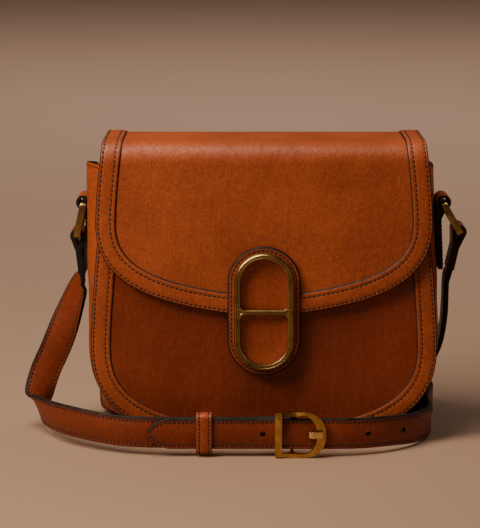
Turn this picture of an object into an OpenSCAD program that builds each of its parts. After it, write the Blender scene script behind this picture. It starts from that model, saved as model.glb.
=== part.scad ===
// Saddle handbag: a leather body with a rounded front, a flap over the top with a magnetic
// clasp, and a shoulder strap that joins in front with a buckle.
// Millimetres. +X is the wearer's right as seen from the front, +Y the back, +Z up.
// The origin is the middle of the base, on the surface the bag stands on.

/* [Body] */
// Width of the front and back panels
body_w = 240; // [200:1:280]
// Height of the panels, from the base to the mouth
body_h = 194; // [175:1:230]
// Depth of the body at the base
body_d = 86; // [76:1:110]
// How far the front and back panels lean in, in degrees
panel_lean = 2.6; // [1:0.1:4]
// Thickness of the panel leather
panel_t = 2.2; // [1.8:0.1:3]
// Thickness of the gusset leather
gusset_t = 2; // [1.6:0.1:2.6]
// How far the gusset swells out between the panels
gusset_swell = 5; // [3:0.5:7]
// Height at which the front panel's round corners begin
front_rise = 70; // [55:1:85]
// Height at which the back panel's square corners begin
back_rise = 45; // [35:1:60]
// How much narrower each side of the front panel is at the mouth
mouth_taper = 11; // [6:0.5:14]

/* [Border band] */
// Width of the band sewn round the panels and the flap
band_w = 14; // [10:0.2:17]
// Thickness of the band
band_t = 1.2; // [0.9:0.1:1.6]

/* [Flap] */
// Width of the flap at its widest
flap_w = 231; // [190:1:236]
// How much narrower each side of the flap is at the top
flap_taper = 5; // [3:0.5:10]
// Height of the flap's lowest point at the front
flap_low = 91; // [84:1:100]
// Height at which the flap's lower curve begins
flap_curve_z = 155; // [145:1:165]
// How far the flap's top face lies above the mouth
flap_over = 17; // [15:0.5:24]
// Thickness of the flap leather
flap_t = 2.4; // [2:0.1:3]
// Radius of the flap's shoulders over the top
shoulder_r = 14; // [11:0.5:17]
// How far the yoke, where the flap is sewn to the back, reaches below the mouth
yoke_l = 29; // [22:1:38]

/* [Clasp] */
// Width of the leather tab under the clasp
tab_w = 50.2; // [47:0.2:56]
// Length of the leather tab
tab_l = 90.4; // [87:0.2:98]
// Height of the middle of the tab
tab_z = 95.2; // [93:0.2:99]
// Thickness of the tab
tab_t = 3.4; // [2.8:0.1:4.4]
// Outer width of the clasp frame
clasp_w = 41.3; // [38:0.1:44]
// Outer length of the clasp frame
clasp_l = 81; // [76:0.5:84]
// Width of the clasp frame's bar
clasp_bar = 4.3; // [3.6:0.1:5.4]
// How far the clasp frame stands off the tab
clasp_t = 4; // [3:0.1:5]
// Width of the bridge across the clasp frame
bridge_w = 3.8; // [3:0.1:5]
// Radius of the flares where the bridge meets the frame
bridge_flare_r = 4; // [2:0.2:5]

/* [Magnet snap] */
// Diameter of the two halves of the snap
snap_d = 18; // [15:0.5:20]
// Height of the snap on the panel
snap_z = 70; // [66:0.5:76]
// Diameter of the hole in the socket
snap_hole_d = 8.4; // [8:0.1:9]

/* [Side rings] */
// Height of the side rings' pivots
ring_z = 164.4; // [158:0.2:172]
// Diameter of the wire of the side rings
ring_wire_d = 3.6; // [3:0.1:4]
// Distance between the middles of a side ring's two long bars
ring_reach = 23; // [20:0.5:27]
// Thickness of the leather side tabs
hanger_t = 3; // [2.4:0.1:3.4]
// Height of the lower end of the side tabs
hanger_low = 118; // [112:1:124]
// How far the left ring hangs out from upright, in degrees
ring_tilt_left = 12; // [12:1:20]
// How far the right ring hangs out from upright, in degrees
ring_tilt_right = 30; // [24:1:34]

/* [Strap] */
// Width of the strap
strap_w = 21.5; // [17:0.5:22]
// Thickness of the strap
strap_t = 3; // [2.4:0.1:3.4]
// Thickness of the strap where it is folded back on a ring
fold_t = 4.6; // [4:0.1:5.4]
// Length of the fold below a ring's lower bar
fold_l = 28; // [22:1:34]
// Distance between the strap's holes
hole_pitch = 30; // [26:0.5:31]
// Diameter of the strap's holes
hole_d = 5; // [5:0.1:5.6]
// Length of the strap's tip beyond its first hole
tip_l = 79; // [76:0.5:84]

/* [Buckle and keeper] */
// Height of the buckle
buckle_h = 32.5; // [28.5:0.5:34]
// Width of the buckle
buckle_w = 34.8; // [34:0.2:38]
// Thickness of the buckle's bars
buckle_t = 3.2; // [2.8:0.1:3.6]
// Diameter of the buckle's pin
pin_d = 2.4; // [2.2:0.1:2.8]
// Thickness of the buckle's tongue
tongue_d = 2.2; // [1.9:0.1:2.4]
// Width of the keeper along the strap
keeper_w = 11; // [9:0.5:13]
// Thickness of the keeper's leather
keeper_t = 1.6; // [1.3:0.1:2]
// Distance from the buckle's pin back to the middle of the keeper
keeper_back = 60; // [54:1:66]

/* [Inside] */
// Thickness of the linings
lining_t = 0.8; // [0.6:0.1:1]
// Width of the slip pocket
pocket_w = 150; // [120:1:170]
// Height of the slip pocket
pocket_h = 95; // [80:1:110]
// Width of the base board
board_w = 96; // [80:1:104]
// Depth of the base board
board_d = 56; // [46:1:60]
// Thickness of the base board
board_t = 2; // [1.5:0.1:2.5]

/* [Hidden] */

$fn = 64;
// How far a cut runs past what it cuts
over = 1;
// Gap between pieces that move past each other
play = 0.3;
// Radial gap of a pin in its running hole
pin_play = 0.05;
// Gap between a soft piece and what it lies on
seat = 0.2;
// How far the panels' rims stand out from the gusset
rim = 0.6;
// How far the panels' lower edges are pressed flat on the floor
foot_press = 0.6;
// Room for the snap's washer between a panel and its lining
washer_room = 0.9;

half_w = body_w / 2;
flap_top = body_h + flap_over;
yoke_low = body_h - yoke_l;
// Exponents of the front and back panels' corner curves
front_power = 2.5;
back_power = 10;
side_power = 1.35;
// Shares of the straight side at which the outline has a point, from the mouth down
side_shares = [1, 0.8, 0.6, 0.4, 0.2];
corner_steps = 12;
last_k = len(side_shares) + corner_steps;
// Shares of the depth at which the gusset has a row of points
depth_shares = [0, 0.14, 0.32, 0.5, 0.68, 0.86, 1];
lining_depth_shares = [0, 0.25, 0.5, 0.75, 1];

// Outlines of the panels

// Point k of half an outline: k runs down the side and round the corner to the middle
function outline_point(half, rise, power, taper, inset, k) =
  let (sides = len(side_shares), real = half - inset)
  k < sides ?
    let (u = side_shares[k])
    [real - taper * pow(u, side_power), rise + (body_h - rise) * u] :
    let (turn = 90 * (k - sides) / corner_steps,
         r = 1 / pow(pow(cos(turn), power) + pow(sin(turn), power), 1 / power))
    [real * r * cos(turn), rise - (rise + foot_press - inset) * r * sin(turn)];

function front_point(inset, k) = outline_point(half_w, front_rise, front_power, mouth_taper, inset, k);
function back_point(inset, k) = outline_point(half_w, back_rise, back_power, 0, inset, k);
function front_outline(inset) = concat(
  [for (k = [0 : last_k]) front_point(inset, k)],
  [for (k = [last_k - 1 : -1 : 0]) let (p = front_point(inset, k)) [-p.x, p.y]]);
function back_outline(inset) = concat(
  [for (k = [0 : last_k]) back_point(inset, k)],
  [for (k = [last_k - 1 : -1 : 0]) let (p = back_point(inset, k)) [-p.x, p.y]]);

// Places on the leaning front and back planes, n out from the panel's outer face

module on_front(n) {
  translate([0, -body_d / 2, 0]) rotate([90 - panel_lean, 0, 0]) translate([0, 0, n]) children();
}
module on_back(n) {
  mirror([0, 1, 0]) on_front(n) children();
}
function front_place(p, n) = [p.x, -body_d / 2 + p.y * sin(panel_lean) - n * cos(panel_lean),
                              p.y * cos(panel_lean) + n * sin(panel_lean)];
function back_place(p, n) = let (q = front_place(p, n)) [q.x, -q.y, q.z];

module above_floor() {
  intersection() {
    children();
    translate([-body_w, -body_w, 0]) cube([2 * body_w, 2 * body_w, 2 * body_h]);
  }
}

// A closed skin over a row of rings that all have as many points

module skin(rings) {
  m = len(rings[0]);
  n = len(rings);
  polyhedron(
    points = [for (r = rings) each r],
    faces = concat(
      [[for (j = [m - 1 : -1 : 0]) j]],
      [for (i = [0 : n - 2]) for (j = [0 : m - 1])
        let (a = i * m + j, b = i * m + (j + 1) % m) each [[a, b, a + m], [b, b + m, a + m]]],
      [[for (j = [0 : m - 1]) (n - 1) * m + j]]));
}

// Gusset: a strip lofted from the front panel's outline to the back panel's

function shell_point(k, side, s, inset, back) =
  let (f = front_place(front_point(rim + inset, k), -back),
       b = back_place(back_point(rim + inset, k), -back),
       p = f + (b - f) * s,
       swell = gusset_swell * sin(180 * s) * min(1, max(0, p.z / front_rise)) * pow(p.x / half_w, 2))
  [side * (p.x + swell), p.y, p.z];
function shell_ring(k, side, shares, inset, wall, back) = concat(
  [for (s = shares) shell_point(k, side, s, inset, back)],
  [for (i = [len(shares) - 1 : -1 : 0]) shell_point(k, side, shares[i], inset + wall, back)]);
module shell(shares, inset, wall, back) {
  skin(concat(
    [for (k = [0 : last_k]) shell_ring(k, 1, shares, inset, wall, back)],
    [for (k = [last_k - 1 : -1 : 0]) shell_ring(k, -1, shares, inset, wall, back)]));
}

module front_panel() {
  color("saddlebrown") above_floor() on_front(-panel_t) linear_extrude(panel_t) polygon(front_outline(0));
}
module back_panel() {
  color("saddlebrown") above_floor() on_back(-panel_t) linear_extrude(panel_t) polygon(back_outline(0));
}
module gusset() {
  color("peru") above_floor() shell(depth_shares, 0, gusset_t, panel_t);
}

module front_band() {
  color("chocolate") above_floor() on_front(0) linear_extrude(band_t) difference() {
    polygon(front_outline(0));
    polygon(concat(front_outline(band_w), [[-half_w, body_h + over], [half_w, body_h + over]]));
  }
}
module back_band() {
  color("chocolate") above_floor() on_back(0) linear_extrude(band_t) difference() {
    polygon(back_outline(0));
    polygon(back_outline(band_w));
    translate([-body_w, yoke_low - play]) square([2 * body_w, body_h]);
  }
}

// Flap: a bent sheet over the top, cut at the hinge line on the back shoulder

flap_lining_out = band_t + 2 * play;
flap_in = flap_lining_out + lining_t;
flap_out = flap_in + flap_t;
yoke_out = flap_t;
shoulder_z = flap_top - shoulder_r;
// Place across the depth of a shoulder's centre, n out from the front plane
function shoulder_y(n) = -body_d / 2 + (shoulder_z * sin(panel_lean) - n + shoulder_r) / cos(panel_lean);
front_shoulder = [shoulder_y(flap_out), shoulder_z];
back_shoulder = [-shoulder_y(yoke_out), shoulder_z];
hinge_r = shoulder_r + band_t;
hinge_y = back_shoulder.x + hinge_r * cos(45);
hinge_z = back_shoulder.y + hinge_r * sin(45);

// The space under the flap's outer face moved out by grow
module tunnel(grow) {
  r = shoulder_r + grow;
  union() {
    translate(front_shoulder) circle(r);
    translate(back_shoulder) circle(r);
    polygon([
      [-body_d / 2 - (flap_out + grow) / cos(panel_lean), 0],
      front_shoulder + r * [-cos(panel_lean), sin(panel_lean)],
      front_shoulder + [0, r],
      back_shoulder + [0, r],
      back_shoulder + r * [cos(panel_lean), sin(panel_lean)],
      [body_d / 2 + (yoke_out + grow) / cos(panel_lean), 0]
    ]);
  }
}
module yoke_sector() {
  polygon([back_shoulder, back_shoulder + body_h * [cos(45), sin(45)], back_shoulder + [body_h, 0],
           back_shoulder + [body_h, -body_h], back_shoulder - [0, body_h]]);
}
module bent_sheet(inner, outer) {
  rotate([90, 0, 90]) linear_extrude(body_w, center = true) difference() {
    tunnel(outer);
    tunnel(inner);
    yoke_sector();
  }
}
module yoke_sheet(inner, outer) {
  rotate([90, 0, 90]) linear_extrude(body_w, center = true) intersection() {
    difference() {
      tunnel(outer);
      tunnel(inner);
    }
    yoke_sector();
  }
}

// Front outline of the flap, moved in by inset
curve_steps = 14;
flap_side_shares = [1, 0.75, 0.5, 0.25];
flap_side_power = 1.5;
// Shares of the flap's half width and of the drop of its curve, for the two handles of the curve
curve_drop_share = 0.746;
curve_run_share = 0.529;
curve_lift_share = 0.095;
flap_half = flap_w / 2;
curve_drop = flap_curve_z - flap_low;
flap_handles = [
  [flap_half, flap_curve_z],
  [flap_half, flap_curve_z - curve_drop_share * curve_drop],
  [curve_run_share * flap_half, flap_low + curve_lift_share * curve_drop],
  [0, flap_low]
];
function mix(a, b, t) = a + (b - a) * t;
function curve_at(h, t) = let (a = mix(h[0], h[1], t), b = mix(h[1], h[2], t), c = mix(h[2], h[3], t))
  mix(mix(a, b, t), mix(b, c, t), t);
function curve_along(h, t) = let (a = mix(h[0], h[1], t), b = mix(h[1], h[2], t), c = mix(h[2], h[3], t))
  mix(b, c, t) - mix(a, b, t);
function curve_inset(t, inset) = let (p = curve_at(flap_handles, t), d = curve_along(flap_handles, t))
  p + inset * [d.y, -d.x] / norm(d);
function flap_side_x(u) = flap_half - flap_taper * pow(u, flap_side_power);
function flap_half_outline(inset) = concat(
  [[flap_side_x(1) - inset, flap_top + hinge_r]],
  [for (u = flap_side_shares) [flap_side_x(u) - inset, mix(flap_curve_z, flap_top, u)]],
  [for (i = [0 : curve_steps]) curve_inset(i / curve_steps, inset)]);
function flap_outline(inset) = let (h = flap_half_outline(inset), n = len(h)) concat(
  h, [for (i = [n - 2 : -1 : 0]) [-h[i].x, h[i].y]]);
module flap_face(inset) {
  polygon(flap_outline(inset));
}
module through_depth() {
  rotate([90, 0, 0]) linear_extrude(2 * body_d, center = true) children();
}
module flap_band_face() {
  difference() {
    flap_face(0);
    polygon(concat(flap_outline(band_w),
                   [[-flap_half, flap_top + hinge_r + over], [flap_half, flap_top + hinge_r + over]]));
  }
}

module flap() {
  color("sienna") intersection() {
    bent_sheet(-flap_t, 0);
    through_depth() flap_face(0);
  }
}
module flap_band() {
  color("chocolate") intersection() {
    bent_sheet(0, band_t);
    through_depth() flap_band_face();
  }
}
module flap_lining() {
  color("tan") intersection() {
    bent_sheet(-flap_t - lining_t, -flap_t);
    through_depth() flap_face(rim);
  }
}
module above_yoke_edge() {
  intersection() {
    children();
    translate([-body_w, yoke_low]) square([2 * body_w, body_h]);
  }
}
module flap_yoke() {
  color("sienna") intersection() {
    yoke_sheet(-flap_t, 0);
    through_depth() above_yoke_edge() flap_face(0);
  }
}
module yoke_band() {
  color("chocolate") intersection() {
    yoke_sheet(0, band_t);
    through_depth() above_yoke_edge() flap_band_face();
  }
}

// Linings, pocket and base board

lining_back_n = panel_t + washer_room;
// Gap between the lining and the gusset
lining_gap = 0.9;
lining_inset = gusset_t + lining_gap;
module lining_front() {
  color("tan") on_front(-lining_back_n - lining_t) linear_extrude(lining_t)
    polygon(front_outline(rim + lining_inset));
}
module lining_back() {
  color("tan") on_back(-lining_back_n - lining_t) linear_extrude(lining_t)
    polygon(back_outline(rim + lining_inset));
}
module lining_gusset() {
  color("tan") shell(lining_depth_shares, lining_inset, lining_t, lining_back_n + lining_t);
}

pocket_gap = 1.4;
pocket_wall = 1;
pocket_seam = 3;
pocket_z = 72;
binding_w = 6;
module slip_pocket() {
  color("tan") on_back(-lining_back_n - lining_t - pocket_gap - pocket_wall) difference() {
    translate([-pocket_w / 2, pocket_z]) cube([pocket_w, pocket_h, pocket_gap + pocket_wall]);
    translate([pocket_seam - pocket_w / 2, pocket_z + pocket_seam, pocket_wall])
      cube([pocket_w - 2 * pocket_seam, pocket_h, pocket_gap + over]);
  }
}
module pocket_binding() {
  color("sienna") on_back(-lining_back_n - lining_t - pocket_gap - 2 * pocket_wall)
    translate([-pocket_w / 2, pocket_z + pocket_h - binding_w]) cube([pocket_w, binding_w, pocket_wall]);
}

// Height that the front panel's outline has gained at a distance x from the middle
function front_gain(x) =
  (front_rise + foot_press) * (1 - pow(1 - pow(x / half_w, front_power), 1 / front_power)) - foot_press;
board_z = gusset_t + 2 * lining_t + play + max(0, front_gain(board_w / 2));
module base_board() {
  color("gray") translate([-board_w / 2, -board_d / 2, board_z]) cube([board_w, board_d, board_t]);
}

// Clasp: tab, brass frame with a bridge, posts, and the magnet snap behind

module stadium(w, l) {
  union() {
    square([w, l - w], center = true);
    for (end = [-1, 1]) translate([0, end * (l - w) / 2]) circle(d = w);
  }
}
post_d = 2.4;
post_sink = 1.8;
post_spread = clasp_l / 2 - clasp_bar;
clasp_mid_r = (clasp_w - clasp_bar) / 2;
module at_posts() {
  for (x = [-1, 1]) for (y = [-1, 1])
    translate([x * clasp_mid_r, y * (clasp_l - clasp_w) / 2]) children();
}
module clasp_tab() {
  color("sienna") on_front(flap_out) difference() {
    translate([0, tab_z]) linear_extrude(tab_t) stadium(tab_w, tab_l);
    translate([0, 0, -over]) linear_extrude(over + band_t) difference() {
      polygon(flap_outline(-play));
      polygon(flap_outline(band_w + play));
    }
    translate([0, tab_z, tab_t - post_sink - seat]) at_posts() cylinder(d = post_d, h = post_sink + seat + over);
  }
}
// Section of the clasp's bar, x across from its outer edge and y out from the tab
clasp_section_shares = [[0, 0], [0, 0.55], [0.2, 1], [0.38, 1], [0.5, 0.8], [0.62, 1], [0.8, 1], [1, 0.55], [1, 0]];
module clasp_section() {
  polygon([for (s = clasp_section_shares) [clasp_w / 2 - s.x * clasp_bar, s.y * clasp_t]]);
}
bridge_t_share = 0.8;
module clasp_bridge() {
  reach = clasp_w / 2 - clasp_bar / 2;
  inner = clasp_w / 2 - clasp_bar;
  linear_extrude(clasp_t * bridge_t_share) union() {
    square([2 * reach, bridge_w], center = true);
    for (x = [-1, 1]) difference() {
      translate([x * (inner - bridge_flare_r / 2), 0])
        square([bridge_flare_r, bridge_w + 2 * bridge_flare_r], center = true);
      for (y = [-1, 1])
        translate([x * (inner - bridge_flare_r), y * (bridge_w / 2 + bridge_flare_r)]) circle(bridge_flare_r);
    }
  }
}
module clasp_frame() {
  straight = clasp_l - clasp_w;
  color("goldenrod") on_front(flap_out + tab_t) translate([0, tab_z]) union() {
    for (end = [0, 1]) rotate(180 * end) {
      translate([0, straight / 2]) rotate_extrude(angle = 180) clasp_section();
      rotate([90, 0, 0]) linear_extrude(straight, center = true) clasp_section();
    }
    clasp_bridge();
  }
}
module clasp_posts() {
  color("goldenrod") on_front(flap_out + tab_t - post_sink) translate([0, tab_z]) at_posts()
    cylinder(d = post_d - 2 * pin_play, h = post_sink);
}

socket_t = 3;
stud_t = flap_out - socket_t - seat;
stud_len = 1.8;
stud_base_d = 5.2;
stud_tip_d = 3.6;
washer_t = washer_room - seat;
washer_d_share = 0.85;
module magnet_socket() {
  color("silver") on_front(0) translate([0, snap_z]) difference() {
    cylinder(d = snap_d, h = socket_t);
    translate([0, 0, socket_t - stud_len - 2 * play]) cylinder(d = snap_hole_d, h = socket_t);
  }
}
module magnet_washer() {
  color("silver") on_front(-panel_t - washer_t) translate([0, snap_z])
    cylinder(d = snap_d * washer_d_share, h = washer_t);
}
module magnet_stud() {
  color("silver") on_front(socket_t + seat) translate([0, snap_z]) union() {
    cylinder(d = snap_d, h = stud_t);
    translate([0, 0, -stud_len]) cylinder(d1 = stud_tip_d, d2 = stud_base_d, h = stud_len + over);
  }
}

// Side tabs and rings

// Half width of the gusset's outer face at depth y and height z, above the corners
function side_x(y, z) =
  let (f = half_w - rim - mouth_taper * pow(max(0, z - front_rise) / (body_h - front_rise), side_power),
       b = half_w - rim,
       y_front = panel_t + z * sin(panel_lean) - body_d / 2,
       s = (y - y_front) / (-2 * y_front))
  mix(f, b, s) + gusset_swell * sin(180 * s) * pow(mix(f, b, s) / half_w, 2);

// Gap between a side tab and the gusset
hanger_gap = 0.5;
hanger_bore_r = ring_wire_d / 2 + play;
hanger_x = side_x(0, ring_z) + hanger_gap + hanger_t + hanger_bore_r;
hanger_steps = 6;
// One cross-section of the side tab at height z
function hanger_ring(z) = [for (c = [[-1, 0], [1, 0], [1, 1], [-1, 1]])
  let (y = c.x * strap_w / 2)
  [side_x(y, z) + hanger_gap + c.y * hanger_t, y, z]];
hanger_high = ring_z - hanger_bore_r - hanger_t / 4;
module side_tab() {
  union() {
    skin([for (i = [0 : hanger_steps]) hanger_ring(mix(hanger_low, hanger_high, i / hanger_steps))]);
    translate([hanger_x, 0, ring_z]) rotate([90, 0, 0]) linear_extrude(strap_w, center = true) difference() {
      circle(hanger_bore_r + hanger_t);
      circle(hanger_bore_r);
    }
  }
}
module side_tab_left() {
  color("sienna") mirror([1, 0, 0]) side_tab();
}
module side_tab_right() {
  color("sienna") side_tab();
}

ring_half = strap_w / 2 + 2 * play + ring_wire_d / 2;
ring_corner_in = 0.8;
ring_corner_r = ring_wire_d / 2 + ring_corner_in;
// A rectangular wire ring, its upper bar on the Y axis and the rest hanging down
module wire_ring() {
  rotate([0, 90, 0]) union() {
    for (x = [0, ring_reach]) translate([x, 0, 0]) rotate([90, 0, 0])
      cylinder(d = ring_wire_d, h = 2 * (ring_half - ring_corner_r), center = true);
    for (y = [-1, 1]) translate([ring_corner_r, y * ring_half, 0]) rotate([0, 90, 0])
      cylinder(d = ring_wire_d, h = ring_reach - 2 * ring_corner_r);
    for (c = [[0, 1, 90], [0, -1, 180], [1, -1, 270], [1, 1, 0]])
      translate([mix(ring_corner_r, ring_reach - ring_corner_r, c.x), c.y * (ring_half - ring_corner_r), 0])
        rotate(c.z) rotate_extrude(angle = 90) translate([ring_corner_r, 0]) circle(d = ring_wire_d);
  }
}
module side_ring_left() {
  color("goldenrod") translate([-hanger_x, 0, ring_z]) rotate([0, ring_tilt_left, 0]) wire_ring();
}
module side_ring_right() {
  color("goldenrod") translate([hanger_x, 0, ring_z]) rotate([0, -ring_tilt_right, 0]) wire_ring();
}

// Strap ends, folded round the rings' lower bars

left_bar = [-hanger_x - ring_reach * sin(ring_tilt_left), 0, ring_z - ring_reach * cos(ring_tilt_left)];
right_bar = [hanger_x + ring_reach * sin(ring_tilt_right), 0, ring_z - ring_reach * cos(ring_tilt_right)];
// How far the right strap end hangs in from upright, in degrees
right_end_lean = 12;
end_bore_r = ring_wire_d / 2 + seat;
module strap_end() {
  rotate([90, 0, 0]) linear_extrude(strap_w, center = true) difference() {
    union() {
      circle(end_bore_r + strap_t);
      translate([-fold_t / 2, -fold_l]) square([fold_t, fold_l]);
    }
    circle(end_bore_r);
  }
}
module strap_end_left() {
  color("sienna") translate(left_bar) strap_end();
}
module strap_end_right() {
  color("sienna") translate(right_bar) rotate([0, right_end_lean, 0]) strap_end();
}

// Strap runs: flat strips swept along smooth routes

// Straight front run, where the two halves of the strap lie on each other
run_z = buckle_h / 2;
run_clear = 25;
tip_y = -body_d / 2 - run_clear - 1.5 * strap_t;
under_y = tip_y + strap_t;
pin_x = 19;
under_run_l = 97;
over_run_l = 31;
under_start_x = pin_x - under_run_l;
tip_start_x = pin_x + over_run_l;

left_end = left_bar - [0, 0, fold_l];
right_end = right_bar - fold_l * [sin(right_end_lean), 0, cos(right_end_lean)];

// Each row of a route holds the place, as shares of half the width, of the depth and of the height
// from the floor to the ring, and then the way that the strap's upper edge points
left_drop_shares = [
  [-1.108, 0.015, 0.62, -0.25, 0.95, 0.05],
  [-1.140, 0.045, 0.505, -0.75, 0.60, 0.25],
  [-1.228, 0.075, 0.325, -0.93, 0.05, 0.37]
];
left_turn_shares = [
  [-1.312, 0.065, 0.168, -0.86, 0.00, 0.50],
  [-1.345, -0.020, 0.052, -0.55, -0.10, 0.83],
  [-1.283, -0.225, 0.045, -0.20, 0.00, 0.98],
  [-1.115, -0.520, 0.042, 0.00, 0.00, 1.00],
  [-0.870, -0.728, 0.036, 0.00, 0.00, 1.00]
];
right_drop_shares = [
  [1.080, 0.035, 0.625, 0.00, 1.00, 0.10],
  [1.085, 0.170, 0.475, 0.00, 0.90, 0.43],
  [1.075, 0.390, 0.310, 0.10, 0.75, 0.65],
  [1.000, 0.680, 0.150, 0.10, 0.45, 0.88]
];
right_turn_shares = [
  [0.860, 0.885, 0.035, 0.00, 0.12, 1.00],
  [0.660, 0.980, 0.000, 0.00, 0.00, 1.00],
  [0.200, 1.020, 0.000, 0.00, 0.00, 1.00],
  [-0.250, 1.000, 0.000, 0.00, 0.00, 1.00],
  [-0.480, 0.960, 0.000, 0.00, 0.00, 1.00],
  [-0.565, 0.860, 0.000, 0.00, 0.00, 1.00],
  [-0.480, 0.760, 0.000, 0.00, 0.00, 1.00],
  [-0.250, 0.720, 0.000, 0.00, 0.00, 1.00],
  [0.250, 0.690, 0.000, 0.00, 0.00, 1.00],
  [0.750, 0.680, 0.000, 0.00, 0.00, 1.00],
  [0.930, 0.660, 0.000, 0.00, 0.00, 1.00],
  [1.025, 0.600, 0.000, 0.00, 0.00, 1.00],
  [1.040, 0.500, 0.000, 0.00, 0.00, 1.00],
  [1.015, 0.350, 0.000, 0.00, 0.00, 1.00],
  [0.995, 0.180, 0.000, 0.00, 0.00, 1.00],
  [0.985, 0.020, 0.000, 0.00, 0.00, 1.00],
  [0.985, -0.140, 0.001, 0.00, 0.00, 1.00],
  [0.955, -0.320, 0.004, 0.00, 0.00, 1.00],
  [0.865, -0.530, 0.012, 0.00, 0.00, 1.00],
  [0.720, -0.700, 0.026, 0.00, 0.00, 1.00],
  [0.570, -0.795, 0.031, 0.00, 0.00, 1.00]
];
floor_z = strap_w / 2;
function route_row(s) = [s[0] * half_w, s[1] * body_d, mix(floor_z, ring_z, s[2]), s[3], s[4], s[5]];
function row_at(p, w) = [p.x, p.y, p.z, w.x, w.y, w.z];
route_steps = 3;
function smooth(p0, p1, p2, p3, t) =
  (2 * p1 + (p2 - p0) * t + (2 * p0 - 5 * p1 + 4 * p2 - p3) * t * t
   + (3 * p1 - p0 - 3 * p2 + p3) * t * t * t) / 2;
// Points along a route: its first and last rows only steer its ends
function route_points(rows) = concat(
  [for (i = [1 : len(rows) - 3]) for (j = [0 : route_steps - 1])
    smooth(rows[i - 1], rows[i], rows[i + 1], rows[i + 2], j / route_steps)],
  [rows[len(rows) - 2]]);
function place(q) = [q[0], q[1], q[2]];
function edge_way(q) = [q[3], q[4], q[5]];
function unit(v) = v / norm(v);
function strap_ring(q, along) =
  let (t = unit(along), n = unit(cross(t, edge_way(q))), w = cross(n, t))
  [for (c = [[-1, -1], [-1, 1], [1, 1], [1, -1]]) place(q) + c.x * w * strap_w / 2 + c.y * n * strap_t / 2];
function route_rings(pts, first_way, last_way) = [for (i = [0 : len(pts) - 1])
  strap_ring(pts[i], i == 0 ? first_way :
                     i == len(pts) - 1 ? last_way : place(pts[i + 1]) - place(pts[i - 1]))];

down = [0, 0, -1];
right_down = [-sin(right_end_lean), 0, -cos(right_end_lean)];
edge_back = [0, 1, 0];
edge_up = [0, 0, 1];
left_rows = concat(
  [row_at(left_end - down * fold_l, edge_back), row_at(left_end, edge_back)],
  [for (s = left_drop_shares) route_row(s)],
  [for (s = left_turn_shares) route_row(s)],
  [row_at([under_start_x, under_y, run_z], edge_up), row_at([under_start_x + fold_l, under_y, run_z], edge_up)]);
right_rows = concat(
  [row_at(right_end - right_down * fold_l, edge_back), row_at(right_end, edge_back)],
  [for (s = right_drop_shares) route_row(s)],
  [for (s = right_turn_shares) route_row(s)],
  [row_at([tip_start_x, tip_y, run_z], edge_up), row_at([tip_start_x - fold_l, tip_y, run_z], edge_up)]);
left_points = route_points(left_rows);
right_points = route_points(right_rows);
left_cut = route_steps * len(left_drop_shares) + route_steps - 1;
right_cut = route_steps * len(right_drop_shares) + route_steps - 1;
function stretch(list, a, b) = [for (i = [a : b]) list[i]];
left_rings = route_rings(left_points, down, [1, 0, 0]);
right_rings = route_rings(right_points, right_down, [-1, 0, 0]);

module strap_left_drop() {
  color("chocolate") skin(stretch(left_rings, 0, left_cut));
}
module strap_right_drop() {
  color("chocolate") skin(stretch(right_rings, 0, right_cut));
}

// Buckle half of the strap: it folds round the buckle's pin, with a slot for the tongue
skive_t = 1.6;
fold_back_l = 22;
slot_l = 9;
pin_y = under_y - strap_t / 2 + skive_t + pin_d / 2 + pin_play;
loop_r = pin_d / 2 + pin_play + skive_t;
eye_w = 3;
module buckle_fold() {
  front_y = under_y - strap_t / 2;
  back_y = front_y + strap_t;
  translate([0, 0, run_z - strap_w / 2]) linear_extrude(strap_w) difference() {
    polygon(concat(
      [[under_start_x, back_y], [under_start_x, front_y]],
      [for (turn = [-90 : 15 : 90]) [pin_x, pin_y] + loop_r * [cos(turn), sin(turn)]],
      [[pin_x - fold_back_l / 2, back_y + skive_t], [pin_x - fold_back_l, back_y + skive_t],
       [pin_x - fold_back_l, back_y]]));
    translate([pin_x, pin_y]) circle(pin_d / 2 + pin_play);
  }
}
module strap_buckle_run() {
  color("chocolate") skin(stretch(left_rings, left_cut, len(left_rings) - 1));
}
module strap_buckle_end() {
  color("chocolate") difference() {
    buckle_fold();
    translate([pin_x - slot_l, pin_y - body_d / 2, run_z - eye_w / 2 - play])
      cube([slot_l + loop_r + over, body_d, eye_w + 2 * play]);
  }
}

// Tip half of the strap, with its holes and pointed end
prong_step = 10;
prong_x = pin_x + prong_step;
tip_x = prong_x - hole_pitch - tip_l;
point_l = 16;
point_shares = [[0, 0], [0.1, 0.2], [0.3, 0.4], [0.6, 0.72], [0.82, 0.9], [1, 1]];
module tip_face() {
  difference() {
    polygon(concat(
      [for (s = point_shares) [tip_x + s.x * point_l, s.y * strap_w / 2]],
      [[tip_start_x, strap_w / 2], [tip_start_x, -strap_w / 2]],
      [for (i = [len(point_shares) - 1 : -1 : 1])
        [tip_x + point_shares[i].x * point_l, -point_shares[i].y * strap_w / 2]]));
    for (i = [-1, 0]) translate([prong_x + i * hole_pitch, 0]) circle(d = hole_d);
  }
}
// A hole in the curved part of the tip run, at point i of its route
module route_hole(i) {
  q = right_points[i];
  t = place(right_points[i + 1]) - place(right_points[i - 1]);
  translate(place(q)) rotate([90, 0, atan2(t.y, t.x)]) cylinder(d = hole_d, h = 2 * strap_t, center = true);
}
last_point = len(right_points) - 1;
module strap_tip_run() {
  color("chocolate") difference() {
    skin(stretch(right_rings, right_cut, last_point));
    for (i = [2, 6]) route_hole(last_point - i);
  }
}
module strap_tip() {
  color("chocolate") translate([0, tip_y + strap_t / 2, run_z]) rotate([90, 0, 0])
    linear_extrude(strap_t) tip_face();
}

// Buckle: a D frame with a flat front bar, a pin behind the strap, and a tongue

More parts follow.
